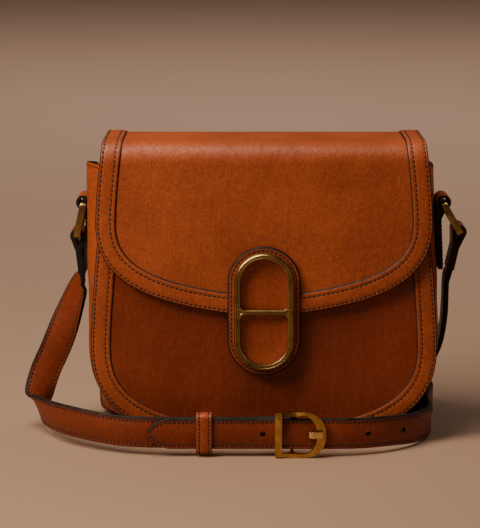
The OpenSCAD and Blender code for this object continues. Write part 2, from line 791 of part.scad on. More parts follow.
bar_front_y = tip_y - strap_t / 2 - play;
flat_bar_w = 4.7;
flat_bar_back = 9.3;
flat_bar_x = pin_x - flat_bar_back;
arm_w = 3.3;
curve_w = 5;
buckle_right = flat_bar_x - flat_bar_w / 2 + buckle_w;
curve_rx = 11;
bow_share = 1.06;
module d_face(inset, bow) {
  r = buckle_h / 2 - inset;
  union() {
    translate([flat_bar_x, -r]) square([buckle_right - curve_rx - flat_bar_x, 2 * r]);
    intersection() {
      translate([buckle_right - curve_rx, -r]) square([curve_rx, 2 * r]);
      translate([buckle_right - bow - r, 0]) circle(r * bow_share);
    }
  }
}
lug_w = 6;
lug_wall = 1.2;
lug_back = pin_y + pin_d / 2 + lug_wall;
module buckle_frame() {
  color("goldenrod") union() {
    translate([0, bar_front_y, run_z]) rotate([90, 0, 0]) linear_extrude(buckle_t) union() {
      translate([flat_bar_x - flat_bar_w / 2, -buckle_h / 2]) square([flat_bar_w, buckle_h]);
      difference() {
        d_face(0, 0);
        d_face(arm_w, curve_w);
      }
    }
    for (s = [-1, 1]) difference() {
      translate([pin_x - lug_w / 2, bar_front_y - buckle_t, run_z + s * (buckle_h / 2 - arm_w / 2) - arm_w / 2])
        cube([lug_w, lug_back - bar_front_y + buckle_t, arm_w]);
      translate([pin_x, pin_y, run_z + s * (buckle_h / 2 - arm_w / 2)])
        cylinder(d = pin_d, h = arm_w + 2 * over, center = true);
    }
  }
}
module buckle_pin() {
  color("goldenrod") translate([pin_x, pin_y, run_z]) cylinder(d = pin_d, h = buckle_h, center = true);
}

// The tongue: an eye on the pin and a flat prong bent through the strap to rest on the curve
eye_r = loop_r - seat;
tongue_top_y = bar_front_y - buckle_t - seat;
// Middle line of the prong, seen from above
tongue_line = [
  [pin_x, pin_y],
  [prong_x - tongue_d / 2, pin_y],
  [prong_x + tongue_d / 2, tip_y - strap_t / 2 - tongue_d / 2],
  [buckle_right - 2 * curve_w, tongue_top_y - tongue_d / 2],
  [buckle_right - curve_w / 2, tongue_top_y - tongue_d / 2]
];
// Way across the prong at a bend, halfway between its two stretches
function bend_way(i) =
  let (a = i == 0 ? [1, 0] : unit(tongue_line[i] - tongue_line[i - 1]),
       b = i == len(tongue_line) - 1 ? a : unit(tongue_line[i + 1] - tongue_line[i]),
       m = unit(a + b))
  [m.y, -m.x] / (m * a);
module buckle_tongue() {
  n = len(tongue_line) - 1;
  color("goldenrod") translate([0, 0, run_z]) linear_extrude(eye_w, center = true) difference() {
    union() {
      translate([pin_x, pin_y]) circle(eye_r);
      polygon(concat(
        [for (i = [0 : n]) tongue_line[i] + tongue_d / 2 * bend_way(i)],
        [for (i = [n : -1 : 0]) tongue_line[i] - tongue_d / 2 * bend_way(i)]));
    }
    translate([pin_x, pin_y]) circle(pin_d / 2 + pin_play);
  }
}

// Keeper: a loose leather loop round both halves of the strap
keeper_x = pin_x - keeper_back;
keeper_room = 1.7;
module keeper() {
  x0 = keeper_x - keeper_w / 2;
  y0 = tip_y - strap_t / 2 - play;
  depth = 2 * strap_t + 2 * play;
  high = strap_w + 2 * keeper_room;
  color("sienna") difference() {
    translate([x0, y0 - keeper_t, run_z - high / 2 - keeper_t])
      cube([keeper_w, depth + 2 * keeper_t, high + 2 * keeper_t]);
    translate([x0 - over, y0, run_z - high / 2]) cube([keeper_w + 2 * over, depth, high]);
  }
}

front_panel();
front_band();
back_panel();
back_band();
gusset();
flap_yoke();
yoke_band();
lining_front();
lining_back();
lining_gusset();
slip_pocket();
pocket_binding();
base_board();
magnet_socket();
magnet_washer();
side_tab_left();
side_tab_right();
strap_left_drop();
strap_buckle_run();
strap_buckle_end();
strap_right_drop();
strap_tip_run();
strap_tip();
buckle_frame();
buckle_pin();
buckle_tongue();
keeper();
side_ring_left();
strap_end_left();
side_ring_right();
strap_end_right();
flap();
flap_band();
flap_lining();
clasp_tab();
clasp_frame();
clasp_posts();
magnet_stud();
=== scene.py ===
"""Saddle handbag in tan leather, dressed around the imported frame.

Shapes are worked out in millimetres: X right, Y back, Z up from the middle of the base.
They become metres when their mesh is made.
"""
import math

import bmesh
import bpy
from mathutils import Matrix, Vector, noise


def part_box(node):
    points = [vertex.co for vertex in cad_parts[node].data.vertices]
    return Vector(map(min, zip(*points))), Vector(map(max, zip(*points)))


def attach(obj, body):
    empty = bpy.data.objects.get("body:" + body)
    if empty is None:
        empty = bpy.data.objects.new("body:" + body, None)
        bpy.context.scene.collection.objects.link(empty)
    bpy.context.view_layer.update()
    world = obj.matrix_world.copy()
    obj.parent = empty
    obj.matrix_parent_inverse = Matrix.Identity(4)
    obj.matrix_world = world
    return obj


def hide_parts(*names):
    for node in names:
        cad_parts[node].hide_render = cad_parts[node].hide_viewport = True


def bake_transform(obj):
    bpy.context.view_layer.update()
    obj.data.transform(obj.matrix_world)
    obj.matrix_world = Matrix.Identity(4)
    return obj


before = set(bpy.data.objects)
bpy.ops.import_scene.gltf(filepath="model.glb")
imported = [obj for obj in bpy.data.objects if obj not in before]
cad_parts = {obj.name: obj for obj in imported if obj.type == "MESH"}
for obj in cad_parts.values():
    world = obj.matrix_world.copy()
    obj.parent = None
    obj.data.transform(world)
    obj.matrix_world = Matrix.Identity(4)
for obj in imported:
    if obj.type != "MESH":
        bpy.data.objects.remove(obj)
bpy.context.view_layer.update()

MM = 0.001

# Body, as in the part's source
BODY_W = 240
BODY_H = 194
BODY_D = 86
LEAN = math.radians(2.6)
PANEL_T = 2.2
GUSSET_T = 2
GUSSET_SWELL = 5
FRONT_RISE = 70
BACK_RISE = 45
MOUTH_TAPER = 11
FRONT_POWER = 2.5
BACK_POWER = 16
BACK_CORNER_Z = 180
BACK_CORNER_H = 7
BACK_CORNER_W = 12
SIDE_POWER = 1.35
RIM = 0.6
FOOT_PRESS = 0.6
BAND_W = 14

# Flap
FLAP_HALF = 115.5
FLAP_TAPER = 5
FLAP_LOW = 91
FLAP_CURVE_Z = 155
FLAP_TOP = 211
FLAP_T = 2.4
FLAP_OUT = 5
SHOULDER_R = 14
YOKE_LOW = 165
FRONT_SHOULDER = (-25.045, FLAP_TOP - SHOULDER_R)
BACK_SHOULDER = (22.442, FLAP_TOP - SHOULDER_R)
LINING_T = 0.8

# Clasp
TAB_W = 50.2
TAB_L = 89.6
TAB_Z = 95.2
TAB_T = 3.4
CLASP_W = 41.3
CLASP_L = 81.6
CLASP_BAR = 4.3
CLASP_T = 4
BRIDGE_W = 3.8
BRIDGE_FLARE_R = 4
SNAP_D = 18
SNAP_Z = 70

# Side rings and tabs
RING_Z = 164.4
HANGER_X = 125.834
RING_REACH = 23
RING_HALF = 13.15
RING_CORNER_R = 2.0
RING_BAR = 3.2
RING_SIDE_W = 4.8
TILT_LEFT = math.radians(12)
TILT_RIGHT = math.radians(30)
END_LEAN = math.radians(12)
HANGER_T = 3
HANGER_LOW = 118
HANGER_GAP = 0.5
HOLLOW_R = 3.3
HOLLOW_UP = 1.1

# Strap
STRAP_W = 21.5
STRAP_T = 3
FOLD_T = 4.6
FOLD_L = 28
RUN_Z = 16.25
TIP_Y = -72.5
UNDER_Y = -69.5
PIN = (19, -68.15)
PIN_D = 2.4
SKIVE_T = 1.6
UNDER_START_X = -78
TIP_START_X = 50
TIP_X = -80
POINT_L = 16
PRONG_X = 29
HOLE_PITCH = 30
HOLE_D = 3.8
KEEPER_X = -41
KEEPER_W = 11
KEEPER_T = 1.6

# Stitching: the two rows of a border, then the pitch and length of each kind of stitch
STITCH_IN = 2.0
STITCH_IN_TOO = 10.3
PANEL_STITCH = (3.3, 2.45)
TAB_STITCH = (3.1, 2.2)
STRAP_STITCH = (3.0, 2.1)
POCKET_STITCH = (3.0, 2.0)
HEM_STITCH = (2.9, 2.2)
KEEPER_STITCH = (2.7, 1.9)


# Materials

def new_material(name):
    """A material, and the coordinates that its patterns lie in."""
    mat = bpy.data.materials.new(name)
    mat.use_nodes = True
    return mat, add(mat, "TexCoord").outputs["Object"]


def feed(mat, node, inputs):
    """Sets a node's inputs to values, or links them to the sockets that feed them."""
    for key, value in inputs.items():
        if isinstance(value, bpy.types.NodeSocket):
            mat.node_tree.links.new(value, node.inputs[key])
        else:
            node.inputs[key].default_value = value


def add(mat, kind, inputs=None, **settings):
    """A shader node: its inputs are values or the sockets that feed them."""
    made = mat.node_tree.nodes.new("ShaderNode" + kind)
    for key, value in settings.items():
        setattr(made, key, value)
    feed(mat, made, inputs or {})
    return made


def shader(mat, inputs):
    """Feeds the material's own shader."""
    feed(mat, mat.node_tree.nodes["Principled BSDF"], inputs)


def mixed(mat, share, first, second):
    """Colour between first and second."""
    first, second = (c if isinstance(c, bpy.types.NodeSocket) else (*c, 1) for c in (first, second))
    return add(mat, "Mix", {0: share, 6: first, 7: second}, data_type="RGBA").outputs[2]


def ranged(mat, value, low, high, new_low, new_high):
    return add(mat, "MapRange", {"Value": value, "From Min": low, "From Max": high,
                                 "To Min": new_low, "To Max": new_high}).outputs["Result"]


def bumped(mat, height, distance, strength=1.0, under=None):
    inputs = {"Height": height, "Distance": distance, "Strength": strength}
    if under:
        inputs["Normal"] = under
    return add(mat, "Bump", inputs).outputs["Normal"]


def clouds(mat, place, scale, detail, roughness=0.5, twist=0.0):
    """Uneven patches, the smaller the higher their scale."""
    return add(mat, "TexNoise", {"Vector": place, "Scale": scale, "Detail": detail,
                                 "Roughness": roughness, "Distortion": twist}).outputs["Fac"]


def stretched(mat, place, scale, turn=(0, 0, 0)):
    """Coordinates that draw a pattern out in one direction."""
    return add(mat, "Mapping", {"Vector": place, "Rotation": turn, "Scale": scale}).outputs["Vector"]


def tan_leather(name, shades, roughness, grain=1.0, streaks=0.0, gloss=0.34):
    """Waxed leather: soft clouds of colour, fine pebbles with darker valleys, and shallow creases."""
    mat, place = new_material(name)
    deep, plain, bright = shades
    cloud = clouds(mat, place, 20, 2)
    mottle = clouds(mat, place, 300, 5, 0.75)
    pebble = add(mat, "TexVoronoi", {"Vector": place, "Scale": 600, "Randomness": 1},
                 feature="SMOOTH_F1").outputs["Distance"]
    pore = clouds(mat, place, 1500, 2)
    crease = clouds(mat, stretched(mat, place, (1, 1, 0.35), (0.3, 0.2, 0.5)), 70, 6, 0.6, 1.2)
    cloudy = mixed(mat, ranged(mat, cloud, 0.38, 0.62, 0.52, 1), deep, plain)
    mottled = mixed(mat, ranged(mat, mottle, 0.42, 0.70, 0, 0.40), cloudy, bright)
    colour = mixed(mat, ranged(mat, pebble, 0.15, 0.75, 0, 0.42), mottled, deep)
    height = bumped(mat, crease, 0.0012, 0.5)
    if streaks:
        streak = clouds(mat, stretched(mat, place, (1, 1, 0.06)), 330, 3, 0.6, 0.4)
        height = bumped(mat, streak, 0.0006, streaks, height)
        colour = mixed(mat, ranged(mat, streak, 0.52, 0.72, 0, 0.45 * streaks), colour, deep)
    height = bumped(mat, pebble, 0.0009 * grain, -1.0, height)
    height = bumped(mat, pore, 0.0003 * grain, 0.6, height)
    shine = ranged(mat, mottle, 0.35, 0.65, roughness + 0.10, roughness - 0.05)
    shader(mat, {"Base Color": colour, "Roughness": shine, "Normal": height, "Specular IOR Level": gloss})
    return mat


def edge_paint():
    """Dark wax paint on cut edges, a little uneven."""
    mat, place = new_material("edge_paint")
    worn = clouds(mat, place, 130, 5)
    shade = ranged(mat, worn, 0.4, 0.75, 0, 1)
    shader(mat, {"Base Color": mixed(mat, shade, (0.006, 0.004, 0.004), (0.026, 0.017, 0.013)),
                 "Roughness": 0.60, "Normal": bumped(mat, worn, 0.0003, 0.5), "Specular IOR Level": 0.22})
    return mat


def waxed_thread():
    """Dark thread with a dull shine and a slanting twist."""
    mat, place = new_material("waxed_thread")
    twist = add(mat, "TexWave", {"Vector": place, "Scale": 900, "Distortion": 1.5},
                bands_direction="DIAGONAL").outputs["Fac"]
    shader(mat, {"Base Color": mixed(mat, twist, (0.006, 0.004, 0.003), (0.024, 0.016, 0.012)),
                 "Roughness": 0.70, "Specular IOR Level": 0.30, "Normal": bumped(mat, twist, 0.0001, 0.6)})
    return mat


def brass(name, shades, roughness):
    """Brass with a handled skin: brown in patches, hairline scratches, rubbed where it is touched."""
    mat, place = new_material(name)
    dull, plain, bright = shades
    patch = clouds(mat, place, 140, 6, 0.65)
    hair = clouds(mat, stretched(mat, place, (60, 3, 60), (0.2, 0.9, 0.4)), 28, 3)
    aged = mixed(mat, ranged(mat, patch, 0.35, 0.6, 0, 1), dull, plain)
    colour = mixed(mat, ranged(mat, hair, 0.6, 0.75, 0, 0.6), aged, bright)
    shine = ranged(mat, patch, 0.3, 0.7, roughness + 0.1, roughness - 0.04)
    scratched = bumped(mat, hair, 0.00006, 0.35)
    shader(mat, {"Base Color": colour, "Metallic": 1.0, "Roughness": shine,
                 "Normal": bumped(mat, patch, 0.0003, 0.45, scratched)})
    return mat


def nickel():
    """Plated steel of the snap, with a faint turned pattern."""
    mat, place = new_material("nickel")
    turned_skin = clouds(mat, place, 420, 4)
    shader(mat, {"Base Color": mixed(mat, turned_skin, (0.50, 0.47, 0.42), (0.68, 0.65, 0.60)),
                 "Metallic": 1.0, "Roughness": ranged(mat, turned_skin, 0.3, 0.7, 0.24, 0.38)})
    return mat


def suede():
    """Short napped lining, brushed one way and another."""
    mat, place = new_material("lining_suede")
    brushed = clouds(mat, place, 30, 5, twist=0.8)
    nap = clouds(mat, place, 1700, 3)
    tone = mixed(mat, ranged(mat, brushed, 0.35, 0.65, 0, 1), (0.36, 0.25, 0.15), (0.46, 0.34, 0.22))
    colour = mixed(mat, ranged(mat, nap, 0.4, 0.7, 0, 0.4), tone, (0.55, 0.43, 0.29))
    shader(mat, {"Base Color": colour, "Roughness": 0.95, "Normal": bumped(mat, nap, 0.0003, 0.6),
                 "Sheen Weight": 0.4, "Sheen Roughness": 0.5, "Specular IOR Level": 0.2})
    return mat


# Shades of each finish: its valleys or patches, its plain colour and its rubbed places. Darkened copies of
# the tan carry painted shade, and the prong's lighter brass carries a painted highlight
TAN = ((0.145, 0.021, 0.0042), (0.318, 0.061, 0.0130), (0.475, 0.120, 0.0270))
# Painted shade: the tan darkened for the front panel and the strap, standing in for the shade they lie in
SHADED_TAN = ((0.086, 0.0098, 0.0014), (0.186, 0.0262, 0.0036), (0.290, 0.0550, 0.0085))
# Painted shade: the tan darkened part way, for the clasp tab
TAB_TAN_SHADED = ((0.120, 0.016, 0.0025), (0.275, 0.047, 0.0085), (0.410, 0.090, 0.0180))
AGED_BRASS = ((0.195, 0.122, 0.040), (0.385, 0.262, 0.098), (0.720, 0.550, 0.285))
BUCKLE_BRASS = ((0.310, 0.176, 0.052), (0.550, 0.335, 0.105), (0.850, 0.620, 0.280))
# Painted highlight: the buckle's brass made lighter for the prong, so that it shows bright against the
# curve
PRONG_LIT_BRASS = ((0.520, 0.330, 0.120), (0.780, 0.560, 0.240), (0.950, 0.780, 0.460))

leather_body = tan_leather("leather_body", TAN, 0.43)
leather_gusset = tan_leather("leather_gusset", TAN, 0.50, gloss=0.12)
# Painted shade: the front panel's leather is the darkened tan
leather_shaded_front = tan_leather("leather_shaded_front", SHADED_TAN, 0.42, streaks=0.4)
leather_band = tan_leather("leather_band", TAN, 0.41, 0.9)
# Painted shade: the clasp tab's leather is the tan darkened part way
leather_shaded_clasp = tan_leather("leather_shaded_clasp", TAB_TAN_SHADED, 0.42, 0.8)
# Painted shade: the strap's leather is the darkened tan
leather_strap = tan_leather("leather_strap", SHADED_TAN, 0.43, 0.8)
lining = suede()
paint = edge_paint()
thread = waxed_thread()
brass_aged = brass("brass_aged", AGED_BRASS, 0.28)
brass_bright = brass("brass_bright", BUCKLE_BRASS, 0.25)
# Painted highlight: the prong's brass is lighter than the buckle's
brass_lit_prong = brass("brass_lit_prong", PRONG_LIT_BRASS, 0.20)
snap_metal = nickel()

BAND_SKIN = [leather_band, paint]
CLOTH_SKIN = [lining, lining, lining]


# Meshes

SHADE_ANGLE = 40
MERGE_NEAR = 0.01
SLIVER = 0.005


def pick(*objs):
    """Selects these objects alone and makes the first one active."""
    bpy.ops.object.select_all(action="DESELECT")
    for obj in objs:
        obj.select_set(True)
    bpy.context.view_layer.objects.active = objs[0]


def show(name, data):
    """A new object in the scene."""
    obj = bpy.data.objects.new(name, data)
    bpy.context.scene.collection.objects.link(obj)
    return obj


def hand_over(obj, nodes=(), body="bag", bend=None):
    """Hides the imported parts that a finished piece stands for and parents it to the body it moves with; a
    piece given a bend is baked in place instead.
    """
    if bend:
        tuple(bend[0])
        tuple(bend[1])
        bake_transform(obj)
    else:
        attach(obj, body)
    if nodes:
        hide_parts(*nodes)
    return obj


def mesh_object(name, points, faces, marks, materials, angle=SHADE_ANGLE):
    """A closed mesh from points in millimetres, its faces turned outwards and shaded smooth."""
    mesh = bpy.data.meshes.new(name)
    mesh.from_pydata([tuple(c * MM for c in p) for p in points], [], faces)
    for mat in materials:
        mesh.materials.append(mat)
    mesh.polygons.foreach_set("material_index", marks)
    shape = bmesh.new()
    shape.from_mesh(mesh)
    bmesh.ops.remove_doubles(shape, verts=shape.verts, dist=MERGE_NEAR * MM)
    bmesh.ops.dissolve_degenerate(shape, edges=shape.edges, dist=SLIVER * MM)
    bmesh.ops.recalc_face_normals(shape, faces=shape.faces)
    shape.to_mesh(mesh)
    shape.free()
    obj = show(name, mesh)
    smooth(obj, angle)
    return obj


def smooth(obj, angle=SHADE_ANGLE):
    pick(obj)
    bpy.ops.object.shade_smooth_by_angle(angle=math.radians(angle))


def loft(name, rings, materials, mark=None, closed=False, cap_mark=0, angle=SHADE_ANGLE):
    """A skin over rings of as many points; mark(i, j) picks the material of each face."""
    m, n = len(rings[0]), len(rings)
    points = [p for ring in rings for p in ring]
    faces, marks = [], []
    for i in range(n if closed else n - 1):
        a, b = i * m, (i + 1) % n * m
        for j in range(m):
            k = (j + 1) % m
            faces.append((a + j, a + k, b + k, b + j))
            marks.append(mark(i, j) if mark else 0)
    if not closed:
        faces += [tuple(range(m)), tuple(range((n - 1) * m, n * m))]
        marks += [cap_mark, cap_mark]
    return mesh_object(name, points, faces, marks, materials, angle)


def slab(name, outer, inner, materials):
    """A sheet between two grids of points; its materials are those of outer face, inner face and rim."""
    rows, cols = len(outer), len(outer[0])
    points = [p for row in outer for p in row] + [p for row in inner for p in row]
    under = rows * cols
    faces, marks = [], []
    for i in range(rows - 1):
        for j in range(cols - 1):
            a = i * cols + j
            quad = (a, a + 1, a + cols + 1, a + cols)
            faces += [quad, tuple(under + q for q in reversed(quad))]
            marks += [0, 1]
    edge = [j for j in range(cols)] + [i * cols + cols - 1 for i in range(1, rows)]
    edge += [(rows - 1) * cols + j for j in range(cols - 2, -1, -1)]
    edge += [i * cols for i in range(rows - 2, 0, -1)]
    for a, b in zip(edge, edge[1:] + edge[:1]):
        faces.append((b, a, under + a, under + b))
        marks.append(2)
    return mesh_object(name, points, faces, marks, materials)


def tidy_shape(operator, **settings):
    """Runs a mesh operator on all of the active object in edit mode."""
    bpy.ops.object.mode_set(mode="EDIT")
    bpy.ops.mesh.select_all(action="SELECT")
    operator(**settings)
    bpy.ops.object.mode_set(mode="OBJECT")


def plate(name, outlines, thick, bevel, place, materials):
    """A flat shape with holes, thick through and rounded at its rims, then put in its place."""
    curve = bpy.data.curves.new(name, "CURVE")
    curve.dimensions = "2D"
    curve.fill_mode = "BOTH"
    for outline in outlines:
        spline = curve.splines.new("POLY")
        spline.points.add(len(outline) - 1)
        for point, (x, y) in zip(spline.points, outline):
            point.co = (x * MM, y * MM, 0, 1)
        spline.use_cyclic_u = True
    pick(show(name, curve))
    bpy.ops.object.convert(target="MESH")
    obj = bpy.context.view_layer.objects.active
    for mat in materials:
        obj.data.materials.append(mat)
    tidy_shape(bpy.ops.mesh.remove_doubles, threshold=MERGE_NEAR * MM)
    wall = obj.modifiers.new("wall", "SOLIDIFY")
    wall.thickness = thick * MM
    wall.offset = 0
    rim = obj.modifiers.new("rim", "BEVEL")
    rim.width = bevel * MM
    rim.segments = 3
    rim.limit_method = "ANGLE"
    rim.angle_limit = math.radians(SHADE_ANGLE)
    for modifier in ("wall", "rim"):
        bpy.ops.object.modifier_apply(modifier=modifier)
    obj.data.transform(place)
    tidy_shape(bpy.ops.mesh.normals_make_consistent, inside=False)
    smooth(obj)
    return obj


def joined(name, pieces):
    pick(*pieces)
    bpy.ops.object.join()
    pieces[0].name = name
    pieces[0].data.name = name
    return pieces[0]


# Lines

def reaches(points):
    """How far along a line each of its points lies."""
    reach = [0.0]
    for a, b in zip(points, points[1:]):
        reach.append(reach[-1] + (b - a).length)
    return reach


def walk(reach, wants):
    """For distances along a line in rising order: the point before each, and the share of the way on."""
    k = 0
    for want in wants:
        while k < len(reach) - 2 and reach[k + 1] < want:
            k += 1
        span = reach[k + 1] - reach[k]
        yield k, (want - reach[k]) / span if span else 0


def even(points, count):
    """The same line with count points, evenly spaced."""
    points = [Vector(p) for p in points]
    reach = reaches(points)
    wants = [reach[-1] * i / (count - 1) for i in range(count)]
    return [points[k].lerp(points[k + 1], share) for k, share in walk(reach, wants)]


def heading(points, i):
    """The way along a line at its point i."""
    return (points[min(i + 1, len(points) - 1)] - points[max(i - 1, 0)]).normalized()


def inward(points):
    """The way in from each point of an outline that runs down the right side and up the left."""
    ways = [heading(points, i) for i in range(len(points))]
    return [Vector((t.y, -t.x)) for t in ways]


def through(a, b, c, d, t):
    """A smooth line from b to c, with a before and d after."""
    return (2 * b + (c - a) * t + (2 * a - 5 * b + 4 * c - d) * t ** 2
            + (3 * b - a - 3 * c + d) * t ** 3) / 2


def arc(cx, cy, r, start, end, steps):
    """Points on a circle between two angles in degrees."""
    angles = [math.radians(start + (end - start) * i / steps) for i in range(steps + 1)]
    return [(cx + r * math.cos(a), cy + r * math.sin(a)) for a in angles]


def rounded_box(w, h, r, steps=6):
    """Outline of a rectangle with round corners, about its middle."""
    points = []
    for sx, sy, start in ((1, 1, 0), (-1, 1, 90), (-1, -1, 180), (1, -1, 270)):
        points += arc(sx * (w / 2 - r), sy * (h / 2 - r), r, start, start + 90, steps)
    return points


def uneven(x, y, size, depth, seed):
    """Soft unevenness of a hide, up to about depth high and size across."""
    return depth * noise.noise(Vector((x / size, y / size, seed)))


# Stitches

# A stitch from end to end: place along it, and thickness there
STITCH_RINGS = ((-1, 0.30), (-0.72, 0.86), (0, 1), (0.72, 0.86), (1, 0.30))
STITCH_SIDES = 6
STITCH_HALF_W = 0.56
STITCH_HALF_H = 0.36
STITCH_BOW = 0.12
STITCH_SLANT = math.radians(15)
THREAD_ANGLE = 60


def stitches(name, rows, stitch=PANEL_STITCH):
    """Rows of slanted thread. Each row is a line of (place, way out of the leather) pairs."""
    pitch, length = stitch
    sides = range(STITCH_SIDES)
    points, faces = [], []
    for row in rows:
        places = [Vector(p) for p, _ in row]
        outs = [Vector(o) for _, o in row]
        reach = reaches(places)
        count = max(2, round(reach[-1] / pitch))
        for k, share in walk(reach, [reach[-1] * (i + 0.5) / count for i in range(count)]):
            centre = places[k].lerp(places[k + 1], share)
            out = outs[k].lerp(outs[k + 1], share).normalized()
            ahead = (places[k + 1] - places[k]).normalized()
            across = out.cross(ahead).normalized()
            ahead = across.cross(out)
            along = ahead * math.cos(STITCH_SLANT) + across * math.sin(STITCH_SLANT)
            beside = out.cross(along)
            base = len(points)
            for t, r in STITCH_RINGS:
                for s in sides:
                    turn = 2 * math.pi * s / STITCH_SIDES
                    lift = STITCH_HALF_H * r * math.sin(turn) + STITCH_BOW * (1 - t * t)
                    points.append(centre + along * (t * length / 2)
                                  + beside * (STITCH_HALF_W * r * math.cos(turn)) + out * lift)
            last = base + (len(STITCH_RINGS) - 1) * STITCH_SIDES
            for a in range(base, last, STITCH_SIDES):
                for s in sides:
                    n = (s + 1) % STITCH_SIDES
                    faces.append((a + s, a + n, a + STITCH_SIDES + n, a + STITCH_SIDES + s))
            faces.append(tuple(base + s for s in sides))
            faces.append(tuple(last + s for s in sides))
    return mesh_object(name, points, faces, [0] * len(faces), [thread], THREAD_ANGLE)


# Panels and gusset

def half_outline(half, rise, power, taper, inset, sides=40, turns=240):
    """Right half of a panel's outline, from the mouth down to the middle of the base."""
    real = half - inset
    points = []
    for i in range(sides):
        up = 1 - i / sides
        points.append(Vector((real - taper * up ** SIDE_POWER, rise + (BODY_H - rise) * up)))
    for i in range(turns + 1):
        turn = math.pi / 2 * i / turns
        reach = (math.cos(turn) ** power + math.sin(turn) ** power) ** (-1 / power)
        points.append(Vector((real * reach * math.cos(turn),
                              rise - (rise + FOOT_PRESS - inset) * reach * math.sin(turn))))
    return points


def front_half(inset, **steps):
    return half_outline(BODY_W / 2, FRONT_RISE, FRONT_POWER, MOUTH_TAPER, inset, **steps)


def back_half(inset, **steps):
    return half_outline(BODY_W / 2, BACK_RISE, BACK_POWER, 0, inset, **steps)


def corner_cut(half, inset=0):
    """The back panel's half outline with its upper corner rounded off, beside the yoke."""
    points = []
    for p in half:
        up = min(1.0, max(0.0, (p.y - BACK_CORNER_Z + inset) / BACK_CORNER_H))
        points.append(Vector((p.x - (BACK_CORNER_W - inset) * (1 - (1 - up ** 3) ** (1 / 3)), p.y)))
    return points


def mirrored(half):
    return half + [Vector((-p.x, p.y)) for p in reversed(half[:-1])]


def front_at(x, up, n):
    return Vector((x, -BODY_D / 2 + up * math.sin(LEAN) - n * math.cos(LEAN),
                   max(0.0, up * math.cos(LEAN) + n * math.sin(LEAN))))


def back_at(x, up, n):
    p = front_at(x, up, n)
    return Vector((p.x, -p.y, p.z))


FRONT_OUT = Vector((0, -math.cos(LEAN), math.sin(LEAN)))
BACK_OUT = Vector((0, math.cos(LEAN), math.sin(LEAN)))

# A sewn border from its outer edge inwards: distance in, and height over the leather
BORDER_FACE = ((0.0, 0.45), (0.22, 0.90), (0.70, 1.14), (1.35, 1.20), (STITCH_IN, 0.90), (2.65, 1.20),
               (4.5, 1.27), (6.2, 1.29), (8.2, 1.27), (9.65, 1.20), (STITCH_IN_TOO, 0.90), (10.95, 1.20),
               (12.40, 1.18), (12.85, 1.08), (13.15, 0.95), (BAND_W, 0.30), (BAND_W, -0.30))
OUTER_PAINT = 0.70
INNER_PAINT = 13.15
UNDER_BAND = 2
STITCH_H = 0.98
ROUNDED_ANGLE = 50


def border(name, outline, at, thick):
    """A band of leather sewn along an outline, with painted edges and two sunk rows for the thread."""
    profile = BORDER_FACE + ((BAND_W - UNDER_BAND, -thick), (0.0, -thick))

    def painted(i, j):
        a, b = profile[j][0], profile[(j + 1) % len(profile)][0]
        return 1 if max(a, b) <= OUTER_PAINT or min(a, b) >= INNER_PAINT else 0

    rings = [[at(p.x + w.x * inset, p.y + w.y * inset, n) for inset, n in profile]
             for p, w in zip(outline, inward(outline))]
    return loft(name, rings, BAND_SKIN, painted, cap_mark=1, angle=ROUNDED_ANGLE)


def border_rows(outline, at, out):
    """The two lines of stitches on a border."""
    ways = inward(outline)
    rows = []
    for inset in (STITCH_IN, STITCH_IN_TOO):
        line = [(p.x + w.x * inset, p.y + w.y * inset) for p, w in zip(outline, ways)]
        rows.append([(at(x, y, STITCH_H), out(x, y)) for x, y in line])
    return rows


def face_rows(half, count, cols):
    """Rows across a panel, one for each point of its half outline."""
    return [[(p.x * (2 * j / (cols - 1) - 1), p.y) for j in range(cols)] for p in even(half, count)[:-1]]


def sheet(name, rows, at, top, under, materials):
    """A sheet on a grid of panel places, between the heights that top and under give there."""
    return slab(name, [[at(x, up, top(x, up)) for x, up in row] for row in rows],
                [[at(x, up, under(x, up)) for x, up in row] for row in rows], materials)


# The front panel's bulge: half its width, then the height and depth of its low and high swell
SWELL_HALF_W = 112
LOW_SWELL_Z = 42
LOW_SWELL_REACH = 34
LOW_SWELL = 1.3
HIGH_SWELL_Z = BODY_H / 2
HIGH_SWELL = 0.5
CREASE = 0.22
CREASE_SIZE = (9, 60)


def across_panel(x):
    """How much of a panel's bulge is left at x."""
    return max(0.0, 1 - (x / SWELL_HALF_W) ** 2)


def front_swell(x, up):
    """The front panel's soft bulge under the flap, with shallow creases near the base."""
    low = math.exp(-((up - LOW_SWELL_Z) / LOW_SWELL_REACH) ** 2)
    high = HIGH_SWELL * max(0.0, 1 - ((up - HIGH_SWELL_Z) / HIGH_SWELL_Z) ** 2)
    crease = noise.noise(Vector((x / CREASE_SIZE[0], up / CREASE_SIZE[1], 3.1))) * low
    wave = uneven(x, up, size=26, depth=0.25, seed=1.7)
    across = across_panel(x)
    return across * (high + LOW_SWELL * low + CREASE * crease) + wave * across


# How far in a panel's own leather ends under its border, and how deep a seated face lies in its neighbour
FRONT_TUCK = 5
BACK_TUCK = 4
SEATED = 0.05


def make_front():
    outline = even(mirrored(front_half(0)), count=260)
    hand_over(border("front_border", outline, front_at, PANEL_T), ["front_band"])
    obj = sheet("front_leather", face_rows(front_half(FRONT_TUCK), count=90, cols=73), front_at,
                front_swell, lambda x, up: SEATED - PANEL_T, [leather_shaded_front, lining, paint])
    hand_over(obj, ["front_panel"])
    rows = border_rows(outline[2:-2], front_at, lambda x, y: FRONT_OUT)
    hand_over(stitches("front_stitching", rows))


BACK_SWELL = 0.6
YOKE_GAP = 0.3
YOKE_PRESS = 4

# The back panel's bare edge beside the yoke: distance in, and height over the leather
RIM_FACE = ((0, -PANEL_T), (0, -0.3), (0.3, 0), (6, 0), (6, -PANEL_T))


def back_swell(x, up):
    """The back panel's slight bulge, pressed flat under the yoke."""
    if up >= YOKE_LOW - YOKE_PRESS:
        return 0
    return BACK_SWELL * across_panel(x) + uneven(x, up, size=30, depth=0.3, seed=7.3)


